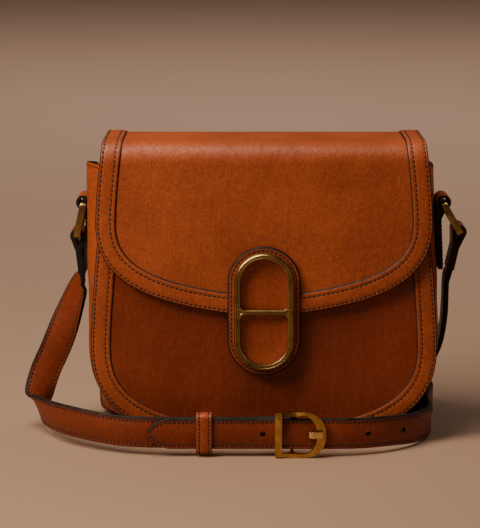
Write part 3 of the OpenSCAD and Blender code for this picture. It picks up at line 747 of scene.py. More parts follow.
def make_back():
    outline = even(mirrored(corner_cut(back_half(0))), count=330)
    below = [p for p in outline if p.y < YOKE_LOW - YOKE_GAP]
    hand_over(border("back_border", below, back_at, PANEL_T), ["back_band"])
    rows = face_rows(corner_cut(back_half(BACK_TUCK), BACK_TUCK), count=90, cols=61)
    obj = sheet("back_leather", rows, back_at, back_swell, lambda x, up: -PANEL_T,
                [leather_body, lining, paint])
    hand_over(obj, ["back_panel"])
    rim = [p for p in outline if YOKE_LOW - YOKE_GAP <= p.y <= BACK_CORNER_Z + BACK_CORNER_H - YOKE_GAP]
    for word, side in (("left", -1), ("right", 1)):
        part = [p for p in rim if side * p.x > 0]
        rings = [[back_at(p.x - side * inset, p.y, n) for inset, n in RIM_FACE] for p in part]
        hand_over(loft("back_rim_" + word, rings, [leather_body, paint], lambda i, j: 1 if j < 2 else 0,
                       cap_mark=1))
    rows = border_rows(below[1:-1], back_at, lambda x, y: BACK_OUT)
    hand_over(stitches("back_stitching", rows))


# Gusset: shares of its depth that carry points, then its mouth, and the left side's fuller bulge
GUSSET_FACES = 16
GUSSET_SHARES = [i / GUSSET_FACES for i in range(GUSSET_FACES + 1)]
GUSSET_SIDES = 26
GUSSET_TURNS = 56
DIP_FROM = 140
MOUTH_FALL = 7
MOUTH_LIFT = 2.8
MOUTH_BULGE = 4.6
LEFT_BULGE = 4.5
BULGE_SHARE = 0.40
BULGE_FROM = 88
BULGE_RISE = 50
GUSSET_GIVE = 0.7
GIVE_RISE = 60
HEM_SHARE = 0.40


def risen(z, start, reach):
    """0 up to the height start, then growing to 1 over reach."""
    return min(1, max(0, (z - start) / reach))


def shell_at(front, back, side, share, deep):
    """A point of the gusset between matching points of the two outlines."""
    p = front_at(front.x, front.y, -deep).lerp(back_at(back.x, back.y, -deep), share)
    swell = GUSSET_SWELL * math.sin(math.pi * share) * risen(p.z, 0, FRONT_RISE) * (p.x / (BODY_W / 2)) ** 2
    high = risen(p.z, DIP_FROM, BODY_H - DIP_FROM)
    dip = (MOUTH_FALL * share ** 1.5 - MOUTH_LIFT * math.sin(math.pi * min(1, 2 * share))) * high ** 2
    if side < 0 and share < BULGE_SHARE:
        rise = risen(p.z, BULGE_FROM, BULGE_RISE)
        bulge = LEFT_BULGE * rise * rise * (3 - 2 * rise) + MOUTH_BULGE * high
        swell += bulge * math.sin(math.pi * share / BULGE_SHARE)
    return Vector((side * (p.x + swell), p.y, p.z - dip))


def shell_rings(inset, wall, deep, give):
    """Rings of a strip that runs down one side, under the base and up the other side."""
    steps = dict(sides=GUSSET_SIDES, turns=GUSSET_TURNS)
    outer, inner = (list(zip(front_half(RIM + i, **steps), back_half(RIM + i, **steps)))
                    for i in (inset, inset + wall))
    rings = []
    last = len(outer) - 1
    for side, order in ((1, range(last + 1)), (-1, range(last - 1, -1, -1))):
        for k in order:
            ring = []
            for s in GUSSET_SHARES:
                p = shell_at(*outer[k], side, s, deep)
                wave = give * uneven(p.y, p.z, size=22, depth=1, seed=side * 5.0)
                p.x += side * wave * math.sin(math.pi * s) * min(1, p.z / GIVE_RISE)
                ring.append(p)
            ring += [shell_at(*inner[k], side, s, deep) for s in reversed(GUSSET_SHARES)]
            rings.append(ring)
    return rings


def make_gusset():
    rings = shell_rings(0, GUSSET_T, PANEL_T, GUSSET_GIVE)

    def mark(i, j):
        """Leather outside, paint on both edges, lining inside but for the leather facing of the mouths."""
        if j < GUSSET_FACES:
            return 0
        if j in (GUSSET_FACES, 2 * GUSSET_FACES + 1):
            return 1
        return 2 if 0 < i < len(rings) - 2 else 0

    obj = loft("gusset_leather", rings, [leather_gusset, paint, lining], mark, cap_mark=1)
    hand_over(obj, ["gusset"])
    hem = []
    for first, second in ((rings[0], rings[1]), (rings[-1], rings[-2])):
        line = [a.lerp(b, HEM_SHARE) for a, b in zip(first[:GUSSET_FACES + 1], second)]
        out = Vector((math.copysign(1, line[0].x), 0, 0))
        hem.append([(p - out * SEATED, out) for p in line])
    hand_over(stitches("gusset_hem_stitching", hem, HEM_STITCH))


# Linings and what is inside

LINING_GAP = 0.9
LINING_BELOW_MOUTH = 3
LINING_WAVE = 0.3


def make_lining():
    """A thin cloth tub inside the leather, and a cloth on each panel."""
    deep = PANEL_T + LINING_GAP
    inset = GUSSET_T + LINING_GAP
    rings = shell_rings(inset, LINING_T, deep + LINING_T, 0)
    for p in rings[0] + rings[-1]:
        p.z -= LINING_BELOW_MOUTH
    hand_over(loft("lining_sides", rings, [lining]), ["lining_gusset"])

    def loose(x, up):
        return -deep - LINING_T - LINING_WAVE * abs(uneven(x, up, size=24, depth=1, seed=2.2))

    for name, half, at in (("lining_front", front_half, front_at), ("lining_back", back_half, back_at)):
        rows = face_rows(half(RIM + inset), count=60, cols=41)
        obj = sheet(name + "_cloth", rows, at, lambda x, up: -deep, loose, CLOTH_SKIN)
        hand_over(obj, [name])


# Slip pocket: flat up to its side seams' end, then opening towards the middle of its mouth
POCKET_W = 150
POCKET_H = 95
POCKET_Z = 72
POCKET_N = -3.9
POCKET_SEAM = 30
POCKET_OUT = 1.4
POCKET_OPEN = 1.6
POCKET_T = 0.9
POCKET_TOP = POCKET_Z + POCKET_H
BINDING_H = 6
BINDING_OUT = 1.7
BINDING_IN = 0.8
BINDING_ROUND = 0.3


def pocket_n(x, up):
    """Height of the pocket's back face over the back panel's leather."""
    open_share = max(0.0, (up - POCKET_Z - POCKET_SEAM) / (POCKET_H - POCKET_SEAM))
    out = POCKET_OUT + POCKET_OPEN * open_share * max(0.0, 1 - (2 * x / POCKET_W) ** 2)
    return POCKET_N - out


def make_pocket():
    """A slip pocket on the back lining, its mouth standing a little open, bound with leather."""
    cols = [POCKET_W * (j / 40 - 0.5) for j in range(41)]
    rows = [[(x, POCKET_Z + POCKET_H * i / 24) for x in cols] for i in range(25)]
    hand_over(sheet("slip_pocket_cloth", rows, back_at, lambda x, up: pocket_n(x, up) - POCKET_T, pocket_n,
                    CLOTH_SKIN), ["slip_pocket"])
    tops = [POCKET_TOP - BINDING_H * (1 - i / 4) for i in range(5)]
    rounds = [BINDING_ROUND, 0, 0, 0, BINDING_ROUND]
    front = [[back_at(x, up, pocket_n(x, up) - BINDING_OUT + round_in) for x in cols]
             for up, round_in in zip(tops, rounds)]
    inner = [[back_at(x, up, pocket_n(x, up) - BINDING_IN) for x in cols] for up in tops]
    hand_over(slab("pocket_binding_leather", front, inner, [leather_band, leather_band, paint]),
              ["pocket_binding"])
    up = POCKET_TOP - BINDING_H / 2
    row = [(back_at(x, up, pocket_n(x, up) - BINDING_OUT - SEATED), -BACK_OUT) for x in cols]
    hand_over(stitches("pocket_stitching", [row], POCKET_STITCH))


BOARD_CORNER_R = 6
BOARD_EDGE_R = 0.8


def make_base_board():
    low, high = (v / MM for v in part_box("base_board"))
    outline = rounded_box(high.x - low.x, high.y - low.y, BOARD_CORNER_R)
    place = Matrix.Translation((low + high) / 2 * MM)
    obj = plate("base_board_covered", [outline], high.z - low.z, BOARD_EDGE_R, place, [lining])
    hand_over(obj, ["base_board"])


# Flap

SHOULDER_TURN = math.radians(45)
ARC = math.radians(90) - LEAN
BACK_ARC_LOW = -SHOULDER_R * (SHOULDER_TURN - LEAN)
BACK_ARC_HIGH = SHOULDER_R * SHOULDER_TURN
TOP_END = BACK_ARC_HIGH + BACK_SHOULDER[0] - FRONT_SHOULDER[0]
FRONT_ARC_END = TOP_END + SHOULDER_R * ARC


def on_shoulder(shoulder, a):
    """Place and outward way on a shoulder's arc at the angle a."""
    out = Vector((math.cos(a), math.sin(a)))
    return Vector(shoulder) + SHOULDER_R * out, out


def over_top(s):
    """Place and outward way, in depth and height, at s along the flap from its hinge line."""
    if s < BACK_ARC_LOW:
        place, out = on_shoulder(BACK_SHOULDER, LEAN)
        return place + (BACK_ARC_LOW - s) * Vector((out.y, -out.x)), out
    if s < BACK_ARC_HIGH:
        return on_shoulder(BACK_SHOULDER, SHOULDER_TURN + s / SHOULDER_R)
    if s < TOP_END:
        return Vector((BACK_SHOULDER[0] - (s - BACK_ARC_HIGH), FLAP_TOP)), Vector((0, 1))
    if s < FRONT_ARC_END:
        return on_shoulder(FRONT_SHOULDER, math.radians(90) + (s - TOP_END) / SHOULDER_R)
    out = Vector((-math.cos(LEAN), math.sin(LEAN)))
    place = Vector(FRONT_SHOULDER) + SHOULDER_R * out
    return place + (s - FRONT_ARC_END) * Vector((-out.y, out.x)), out


def flap_at(x, s, n):
    place, out = over_top(s)
    return Vector((x, place.x + out.x * n, place.y + out.y * n))


def flap_out_way(s):
    out = over_top(s)[1]
    return Vector((0, out.x, out.y))


def flap_half_width(s):
    z = over_top(s)[0].y
    up = min(1.0, max(0.0, (z - FLAP_CURVE_Z) / (FLAP_TOP - FLAP_CURVE_Z)))
    return FLAP_HALF - FLAP_TAPER * up ** 1.5


YOKE_S = BACK_ARC_LOW - (over_top(BACK_ARC_LOW)[0].y - YOKE_LOW) / math.cos(LEAN)
CURVE_S = FRONT_ARC_END + (over_top(FRONT_ARC_END)[0].y - FLAP_CURVE_Z) / math.cos(LEAN)
CURVE_DROP = FLAP_CURVE_Z - FLAP_LOW
FLAP_HANDLES = ((FLAP_HALF, 0), (FLAP_HALF, 0.746 * CURVE_DROP),
                (0.529 * FLAP_HALF, 0.905 * CURVE_DROP), (0, CURVE_DROP))
SIDE_STEPS = 90
CURVE_STEPS = 80


def flap_curve(t):
    """The flap's lower edge, in width and drop below where the curve begins."""
    p = [Vector(h) for h in FLAP_HANDLES]
    while len(p) > 1:
        p = [a.lerp(b, t) for a, b in zip(p, p[1:])]
    return p[0]


def flap_half_outline():
    """Right half of the flap's outline, in width and distance along it, from the yoke to the clasp."""
    heights = [YOKE_S + (CURVE_S - YOKE_S) * i / SIDE_STEPS for i in range(SIDE_STEPS)]
    side = [Vector((flap_half_width(s), s)) for s in heights]
    for i in range(CURVE_STEPS + 1):
        p = flap_curve(i / CURVE_STEPS)
        side.append(Vector((p.x, CURVE_S + p.y / math.cos(LEAN))))
    return side


# Where the flap's soft stretch begins and ends over the back shoulder, in metres
FLAP_BEND = ((0, 0.0338, 0.2), (0, 0.0200, 0.2))
FLAP_TUCK = 5
FLAP_GIVE_HALF_W = 108
GIVE_BEFORE_FRONT = 30
GIVE_REACH = 40
FLAP_CREASE = 0.16
LINING_INSET = 0.7
LINING_FROM = 0.4
YOKE_ROW_HALF = 96
YOKE_ROW_STEP = 4
YOKE_ROW_IN = 2.6
YOKE_ROW_OUT = 0.02


def flap_give(x, s):
    """Unevenness of the flap's leather: soft waves and a few shallow creases."""
    edge = min(1.0, max(0.0, (s - FRONT_ARC_END + GIVE_BEFORE_FRONT) / GIVE_REACH))
    wave = uneven(x, s, size=38, depth=0.55, seed=4.4) + uneven(x, s, size=15, depth=0.14, seed=9.1)
    crease = -FLAP_CREASE * abs(noise.noise(Vector((x / 17, s / 8, 6.2))))
    return (wave + crease) * edge * max(0.0, 1 - (x / FLAP_GIVE_HALF_W) ** 8)


def drawn_in(half, inset):
    """The flap's half outline moved in from its side and from its lower curve."""
    return [Vector((max(0.0, p.x - inset), p.y - inset * max(0.0, (p.y - CURVE_S) / CURVE_DROP)))
            for p in half]


def hand_over_flap(obj, nodes=()):
    """A piece of the flap, handed over with the flap's bend, so that hand_over bakes it in place."""
    hand_over(obj, nodes, "flap", FLAP_BEND)


def make_flap():
    """The flap with its border, lining and stitches; up is the distance along it turned round."""
    half = flap_half_outline()
    upside = [Vector((p.x, -p.y)) for p in even(mirrored(half), count=330)]

    def at(x, up, n):
        return flap_at(x, -up, n)

    hand_over_flap(border("flap_border", upside, at, FLAP_T), ["flap_band", "yoke_band"])
    rows = [row[1:-1] for row in border_rows(upside, at, lambda x, up: flap_out_way(-up))]
    hand_over_flap(stitches("flap_stitching", rows))
    rows = face_rows(drawn_in(half, FLAP_TUCK), count=130, cols=81)
    leather = sheet("flap_leather", rows, flap_at, flap_give, lambda x, s: SEATED - FLAP_T,
                    [leather_body, lining, paint])
    hand_over_flap(leather, ["flap", "flap_yoke"])
    under_half = drawn_in([p for p in half if p.y > LINING_FROM], LINING_INSET)
    rows = face_rows(under_half, count=110, cols=61)
    cloth = sheet("flap_lining_cloth", rows, flap_at, lambda x, s: -FLAP_T,
                  lambda x, s: -FLAP_T - LINING_T, [lining, lining, paint])
    hand_over_flap(cloth, ["flap_lining"])
    out = flap_out_way(YOKE_S)
    across = range(-YOKE_ROW_HALF, YOKE_ROW_HALF + 1, YOKE_ROW_STEP)
    row = [(flap_at(x, YOKE_S + YOKE_ROW_IN, YOKE_ROW_OUT), out) for x in across]
    hand_over(stitches("yoke_stitching", [row]))


# Clasp

def stadium(w, l, inset, count=96):
    """Outline of a long oval, moved in by inset: from the right side round the top."""
    r = max(0.02, w / 2 - inset)
    straight = (l - w) / 2
    points = []
    for i in range(count):
        a = 2 * math.pi * (i + 0.5) / count
        points.append((r * math.cos(a), r * math.sin(a) + math.copysign(straight, math.sin(a))))
    return points


def on_clasp(x, y, n):
    return front_at(x, TAB_Z / math.cos(LEAN) + y, FLAP_OUT + n)


# Faces of tab and frame from their outer edge inwards: distance in, and height
TAB_FACE = ((0.0, 0.0), (0.0, 2.2), (0.22, 2.85), (0.6, 3.25), (1.1, 3.42), (2.0, 3.45), (2.7, 3.12),
            (3.4, 3.42), (5.0, 3.42), (7.5, 3.38), (9.2, 3.20), (11.5, 2.70), (14.5, 2.20), (18.0, 1.95),
            (24.6, 1.90))
TAB_PAINTED = 4
TAB_ROW = (2.7, 3.22)
CLASP_FACE = ((0.0, 0.0), (0.0, 2.0), (0.25, 2.9), (0.9, 3.65), (1.35, 3.95), (1.6, 3.90), (1.95, 3.45),
              (2.7, 3.35), (3.05, 3.75), (3.4, 3.80), (3.95, 3.50), (4.2, 2.9), (CLASP_BAR, 2.0),
              (CLASP_BAR, 0.0))

# The bridge from below to above, as shares of its half width and of the frame's thickness
BRIDGE_FACE = ((-1, 0), (-1, 0.52), (-0.8, 0.84), (-0.5, 0.93), (-0.32, 0.90), (-0.2, 0.78), (0.2, 0.78),
               (0.32, 0.90), (0.5, 0.93), (0.8, 0.84), (1, 0.52), (1, 0))
BRIDGE_STEPS = 20
BRASS_ANGLE = 32


def make_clasp_tab():
    rings = [[on_clasp(x, y, n) for x, y in stadium(TAB_W, TAB_L, inset)] for inset, n in TAB_FACE]
    obj = loft("clasp_tab_leather", rings, [leather_shaded_clasp, paint],
               lambda i, j: 1 if i < TAB_PAINTED else 0, angle=ROUNDED_ANGLE)
    hand_over(obj, ["clasp_tab"], "flap")
    inset, n = TAB_ROW
    line = stadium(TAB_W, TAB_L, inset)
    row = [(on_clasp(x, y, n), FRONT_OUT) for x, y in line + line[:1]]
    hand_over(stitches("clasp_tab_stitching", [row], TAB_STITCH), (), "flap")


def bridge_half_width(x):
    """Half the width of the bridge, which flares where it meets the frame."""
    start = CLASP_W / 2 - CLASP_BAR - BRIDGE_FLARE_R
    into = min(1.0, max(0.0, (abs(x) - start) / BRIDGE_FLARE_R))
    return BRIDGE_W / 2 + BRIDGE_FLARE_R * (1 - math.sqrt(1 - into * into))


def make_clasp_frame():
    """A long oval ring with a grooved face, and a bridge across its middle."""
    outlines = [[on_clasp(x, y, TAB_T + n) for x, y in stadium(CLASP_W, CLASP_L, inset, count=144)]
                for inset, n in CLASP_FACE]
    rings = [list(ring) for ring in zip(*outlines)]
    ring = loft("clasp_ring", rings, [brass_aged], closed=True, angle=BRASS_ANGLE)
    reach = CLASP_W / 2 - CLASP_BAR / 2
    steps = range(-BRIDGE_STEPS, BRIDGE_STEPS + 1)
    spots = [reach * math.sin(math.pi / 2 * i / BRIDGE_STEPS) for i in steps]
    bars = [[on_clasp(x, a * bridge_half_width(x), TAB_T + b * CLASP_T) for a, b in BRIDGE_FACE]
            for x in spots]
    bridge = loft("clasp_bridge", bars, [brass_aged], angle=BRASS_ANGLE)
    hand_over(joined("clasp_frame_brass", [ring, bridge]), ["clasp_frame", "clasp_posts"], "flap")


# Magnet snap: radius and height of each piece's profile
SNAP_R = SNAP_D / 2
SOCKET = ((SNAP_R - 0.3, 0), (SNAP_R, 0.5), (SNAP_R, 1.7), (SNAP_R - 0.5, 2.3), (SNAP_R - 1.2, 2.5),
          (SNAP_R - 2.2, 2.5), (SNAP_R - 2.8, 2.95), (5.0, 2.98), (4.3, 2.7), (4.2, 0.9), (0, 0.9))
WASHER = ((7.6, -2.9), (7.6, -2.25), (0, -2.25))
STUD = ((SNAP_R - 0.2, 5.0), (SNAP_R, 4.6), (SNAP_R, 3.6), (SNAP_R - 0.4, 3.22), (2.7, 3.2), (2.6, 3.1),
        (2.2, 1.8), (1.6, 1.4), (0, 1.4))
AXIS_R = 0.01
METAL_ANGLE = 35


def turned(name, profile, place, mat, count=48):
    """A turned piece: profile is (radius, height) pairs about the axis that place puts in the model."""
    turns = [2 * math.pi * i / count for i in range(count)]
    rings = [[place(max(r, AXIS_R) * math.cos(a), max(r, AXIS_R) * math.sin(a), h) for a in turns]
             for r, h in profile]
    return loft(name, rings, [mat], angle=METAL_ANGLE)


def make_snap():
    def place(x, y, n):
        return front_at(x, SNAP_Z + y, n)

    for node, profile, body in (("magnet_socket", SOCKET, "bag"), ("magnet_washer", WASHER, "bag"),
                                ("magnet_stud", STUD, "flap")):
        hand_over(turned(node + "_metal", profile, place, snap_metal), [node], body)


# Side tabs, rings and strap ends

# Side tab: its end below the ring's bar, its hold on the gusset, its loop, and its seam's places
SIDE_TAB_STEPS = 6
SIDE_TAB_UNDER_RING = 4
SIDE_TAB_TUCK = 0.35
SIDE_TAB_LOOP_T = 1.9
SIDE_TAB_SEAM_IN = 2.3
SIDE_TAB_SEAM_LOW = HANGER_LOW + 2.2
SIDE_TAB_SEAM_Z = (SIDE_TAB_SEAM_LOW, 130, 140, 150, 156)
STRAP_EDGE_R = 0.45
THREAD_OUT = 0.02
END_FACING = 0.6


def gusset_x(z):
    """The gusset's outer face at the middle of its depth."""
    taper = MOUTH_TAPER * max(0.0, (z - FRONT_RISE) / (BODY_H - FRONT_RISE)) ** SIDE_POWER
    middle = BODY_W / 2 - RIM - taper / 2
    return middle + GUSSET_SWELL * (middle / (BODY_W / 2)) ** 2


def across_depth(side):
    """Puts a flat shape drawn in width and height across the bag's depth."""
    return Matrix(((side, 0, 0, 0), (0, 0, 1, 0), (0, 1, 0, 0), (0, 0, 0, 1)))


def paint_ends(obj):
    """Edge paint on the faces that look along the bag's depth."""
    for face in obj.data.polygons:
        face.material_index = 1 if abs(face.normal.y) > END_FACING else 0


def make_side_tab(word, side):
    """A leather tab on the gusset, looped over the ring's upper bar."""
    node = "side_tab_" + word
    tall = RING_Z - SIDE_TAB_UNDER_RING - HANGER_LOW
    heights = [HANGER_LOW + tall * i / SIDE_TAB_STEPS for i in range(SIDE_TAB_STEPS + 1)]
    inner = [(gusset_x(z) + HANGER_GAP - SIDE_TAB_TUCK, z) for z in heights]
    outer = [(gusset_x(z) + HANGER_GAP + HANGER_T, z) for z in heights[:-1]]
    middle = (HANGER_X, RING_Z + HOLLOW_UP)
    loop = arc(*middle, HOLLOW_R + SIDE_TAB_LOOP_T, start=190, end=-70, steps=26)
    hole = arc(*middle, HOLLOW_R, start=360, end=12, steps=29)
    obj = plate(node + "_leather", [inner + loop + outer[::-1], hole], STRAP_W, STRAP_EDGE_R,
                across_depth(side), BAND_SKIN)
    paint_ends(obj)
    hand_over(obj, [node])

    def seam(y, z):
        return (side * (gusset_x(z) + HANGER_GAP + HANGER_T + THREAD_OUT), y, z), (side, 0, 0)

    seam_y = STRAP_W / 2 - SIDE_TAB_SEAM_IN
    rows = [[seam(y, z) for z in SIDE_TAB_SEAM_Z] for y in (-seam_y, seam_y)]
    rows.append([seam(y, SIDE_TAB_SEAM_LOW) for y in (-seam_y, 0, seam_y)])
    hand_over(stitches(node + "_leather_stitching", rows, STRAP_STITCH))


RING_CORNER_STEPS = 8
RING_EDGE_R = 0.5


def make_ring(word, side, tilt):
    """A rectangular ring of squared bar, its upper bar in the side tab."""
    node = "side_ring_" + word
    corner = RING_CORNER_R
    half = RING_HALF - corner
    low = corner - RING_REACH
    section = rounded_box(RING_BAR, RING_BAR, RING_EDGE_R, 3)
    rings = []
    for cy, cz, start in ((half, -corner, 0), (-half, -corner, 90), (-half, low, 180), (half, low, 270)):
        for i in range(RING_CORNER_STEPS + 1):
            a = math.radians(start + 90 * i / RING_CORNER_STEPS)
            y, z = cy + corner * math.cos(a), cz + corner * math.sin(a)
            wide = 1 + (RING_SIDE_W / RING_BAR - 1) * abs(math.cos(a)) ** 0.5
            ring = []
            for u, v in section:
                p = Vector((v * wide, y + u * math.cos(a), z + u * math.sin(a)))
                ring.append((side * HANGER_X + p.x * math.cos(tilt) - side * p.z * math.sin(tilt), p.y,
                             RING_Z + p.z * math.cos(tilt) + side * p.x * math.sin(tilt)))
            rings.append(ring)
    obj = loft(node + "_brass", rings, [brass_aged], closed=True, angle=METAL_ANGLE)
    hand_over(obj, [node], "ring_" + word)


def ring_bar(side, tilt):
    """Middle of a ring's lower bar."""
    return side * (HANGER_X + RING_REACH * math.sin(tilt)), RING_Z - RING_REACH * math.cos(tilt)


# The strap's fold round a ring's bar: loop, hollow and slit, and below the ring its neck and seam
LOOP_R = 5
LOOP_HOLLOW_R = 2.3
LOOP_FROM = 206
LOOP_TO = -26
SLIT_HALF = 0.4
SLIT_LOW = -7.6
NECK_Z = -11.5
SKIVED_END = (0.9, 1.2)
END_SEAM_Y = 7.6
END_SEAM_Z = (-FOLD_L + 2, -18, -9)


def make_strap_end(word, side, tilt, lean):
    """The strap's end, folded round the ring's lower bar and sewn to itself."""
    node = "strap_end_" + word
    half = FOLD_T / 2
    outline = [(-half, -FOLD_L), (-half, NECK_Z)] + arc(0, 0, LOOP_R, LOOP_FROM, LOOP_TO, 26)
    outline += [(half, NECK_Z), (half, -FOLD_L + SKIVED_END[1]), (half - SKIVED_END[0], -FOLD_L)]
    hole = [(SLIT_HALF, SLIT_LOW), (-SLIT_HALF, SLIT_LOW)]
    hole += arc(0, 0, LOOP_HOLLOW_R, LOOP_FROM, LOOP_TO, 20)
    x, z = ring_bar(side, tilt)
    place = Matrix.Translation((x * MM, 0, z * MM))
    place = place @ Matrix.Rotation(side * lean, 4, "Y") @ across_depth(side)
    obj = plate(node + "_leather", [outline, hole], STRAP_W, STRAP_EDGE_R, place, [leather_strap, paint])
    paint_ends(obj)
    body = "ring_" + word
    hand_over(obj, [node], body)
    rows = []
    for sign in (-1, 1):
        out = place.to_3x3() @ Vector((sign, 0, 0))
        for y in (-END_SEAM_Y, END_SEAM_Y):
            seam = [Vector((sign * half + sign * THREAD_OUT, h, y)) for h in END_SEAM_Z]
            rows.append([(place @ (p * MM) / MM, out) for p in seam])
    hand_over(stitches(node + "_leather_stitching", rows, STRAP_STITCH), (), body)


# Strap

# Places as shares of half the width, of the depth and of the height from the floor run to the rings,
# then the way the strap's upper edge points, where it isn't straight up
LEFT_DROP = (
    (-1.085, 0.015, 0.62, -0.50, 0.85, 0.05),
    (-1.140, 0.045, 0.505, -0.75, 0.60, 0.25),
    (-1.228, 0.075, 0.325, -0.93, 0.05, 0.37),
    (-1.312, 0.065, 0.175, -0.84, 0.00, 0.54),
    (-1.345, -0.020, 0.053, -0.42, -0.10, 0.90),
    (-1.283, -0.225, 0.036, -0.20, 0.00, 0.98),
    (-1.115, -0.520, 0.042),
    (-0.870, -0.728, 0.036),
)
RIGHT_DROP = (
    (1.080, 0.035, 0.625, 0.00, 1.00, 0.10),
    (1.085, 0.170, 0.475, 0.00, 0.90, 0.43),
    (1.075, 0.390, 0.310, 0.10, 0.75, 0.65),
    (1.000, 0.680, 0.150, 0.10, 0.45, 0.88),
    (0.860, 0.885, 0.035, 0.00, 0.12, 1.00),
    (0.660, 0.980, 0.000),
    (0.200, 1.020, 0.000),
    (-0.250, 1.000, 0.000),
    (-0.480, 0.960, 0.000),
    (-0.565, 0.860, 0.000),
    (-0.480, 0.760, 0.000),
    (-0.250, 0.720, 0.000),
    (0.250, 0.690, 0.000),
    (0.750, 0.680, 0.000),
    (0.930, 0.660, 0.000),
    (1.025, 0.600, 0.000),
    (1.040, 0.500, 0.000),
    (1.015, 0.350, 0.000),
    (0.995, 0.180, 0.000),
    (0.985, 0.020, 0.000),
    (0.985, -0.140, 0.001),
    (0.955, -0.320, 0.004),
    (0.865, -0.530, 0.012),
    (0.720, -0.700, 0.026),
    (0.570, -0.795, 0.031),
)
UP = Vector((0, 0, 1))
BACK = Vector((0, 1, 0))
FLOOR_Z = STRAP_W / 2
ROUTE_STEPS = 8
LEFT_LEAN = math.radians(6)
INTO_FOLD = 3
HOLE_DEPTH = 12

# Heights between which each half of the strap turns from resting on the floor to following its ring,
# in metres
LEFT_BEND = ((0, 0, 0.045), (0, 0, 0.110))
RIGHT_BEND = ((0, 0, 0.035), (0, 0, 0.112))


def route_row(x, y, z, *way):
    place = Vector((x * BODY_W / 2, y * BODY_D, FLOOR_Z + (RING_Z - FLOOR_Z) * z))
    return place, Vector(way) if way else UP


def route(rows):
    """Places and upper-edge ways along a smooth line; the first and last rows only steer it."""
    line = []
    for i in range(1, len(rows) - 2):
        for j in range(ROUTE_STEPS):
            near = rows[i - 1:i + 3]
            line.append(tuple(through(*(row[k] for row in near), j / ROUTE_STEPS) for k in (0, 1)))
    line.append(rows[-2])
    return line


def on_run(x, y):
    """A row of the straight run in front of the bag."""
    return Vector((x, y, RUN_Z)), UP


def drop_line(side, tilt, lean, drop, run):
    """The strap's line from its fold at a ring, by way of its drop, to the start of its straight run."""
    x, z = ring_bar(side, tilt)
    fall = Vector((-side * math.sin(lean), 0, -math.cos(lean)))
    end = Vector((x, 0, z)) + fall * FOLD_L
    rows = [(end - fall * FOLD_L, BACK), (end, BACK)] + [route_row(*s) for s in drop] + run
    return [(end - fall * INTO_FOLD, BACK)] + route(rows)


# The strap's section from its lower edge to its upper one, as shares of half width and thickness
STRAP_FACE = ((-1, 0.2), (-0.985, 0.40), (-0.95, 0.5), (-0.80, 0.5), (-0.76, 0.43), (-0.72, 0.5), (0, 0.52),
              (0.72, 0.5), (0.76, 0.43), (0.80, 0.5), (0.87, 0.5), (0.95, 0.46), (0.985, 0.36), (1, 0.2))
STRAP_SECTION = STRAP_FACE + tuple((a, -b) for a, b in reversed(STRAP_FACE))
STRAP_ROW = 0.76
STRAP_ROW_OUT = 0.46
PAINT_ABOVE = 0.87
PAINT_BELOW = -0.95
SEWN_HALF = 3


def strap_mark(i, j):
    """Paint on the strap's edges, broader on the upper one."""
    a, b = STRAP_SECTION[j][0], STRAP_SECTION[(j + 1) % len(STRAP_SECTION)][0]
    return 1 if min(a, b) >= PAINT_ABOVE or max(a, b) <= PAINT_BELOW else 0


def from_edge(a, half):
    """A place across the strap that keeps its distance from the edge where the strap narrows."""
    return math.copysign(max(0.0, half - (1 - abs(a)) * STRAP_W / 2), a)


def strap(name, line, half_width, thickness):
    """A flat strap along a line of (place, upper-edge way), with its four rows of stitches."""
    places = [place for place, _ in line]
    rings, rows = [], {(a, b): [] for a in (-1, 1) for b in (-1, 1)}
    for i, (place, way) in enumerate(line):
        t = heading(places, i)
        n = t.cross(way).normalized()
        w = n.cross(t)
        half = half_width(place)
        thick = thickness(i)
        rings.append([place + w * from_edge(a, half) + n * (b * thick) for a, b in STRAP_SECTION])
        for (a, b), row in rows.items():
            if half > SEWN_HALF:
                sewn = place + w * from_edge(a * STRAP_ROW, half) + n * (b * STRAP_ROW_OUT * thick)
                row.append((sewn, n * b))
    obj = loft(name, rings, [leather_strap, paint], strap_mark, cap_mark=1, angle=ROUNDED_ANGLE)
    return obj, list(rows.values())


def bore(obj, holes):
    """Cuts the strap's round holes through obj: each is a place and a direction."""
    for place, way in holes:
        bpy.ops.object.select_all(action="DESELECT")
        bpy.ops.mesh.primitive_cylinder_add(vertices=32, radius=HOLE_D / 2 * MM, depth=HOLE_DEPTH * MM,
                                            location=Vector(place) * MM,
                                            rotation=Vector(way).to_track_quat("Z", "Y").to_euler())
        cutter = bpy.context.view_layer.objects.active
        cutter.data.materials.append(paint)
        bpy.context.view_layer.objects.active = obj
        cut = obj.modifiers.new("hole", "BOOLEAN")
        cut.object = cutter
        cut.operation = "DIFFERENCE"
        cut.solver = "EXACT"
        bpy.ops.object.modifier_apply(modifier="hole")
        bpy.data.objects.remove(cutter)
    smooth(obj, ROUNDED_ANGLE)


# The strap's pointed tip: the two powers of its curve, its blunt end, and the rows drawn close there
POINT_CURVE = 1.75
POINT_BLUNTING = 0.62
POINT_END_HALF = 0.35
POINT_CROWDING = 1.6
NEAR_RUN = 0.5


def tip_half_width(place):
    """The strap narrows to its pointed tip."""
    into = (place.x - TIP_X) / POINT_L if abs(place.y - TIP_Y) < NEAR_RUN else 1
    if into >= 1:
        return STRAP_W / 2
    narrowed = (1 - (1 - max(0.0, into)) ** POINT_CURVE) ** POINT_BLUNTING
    return max(POINT_END_HALF, STRAP_W / 2 * narrowed)


# The strap's holes: the prong's sits a little ahead of it, and two more lie before the straight run
PRONG_HOLE_AHEAD = 1.3
HOLES_BEFORE_RUN = (19, 49)
RUN_STEPS = 28
POINT_STEPS = 14


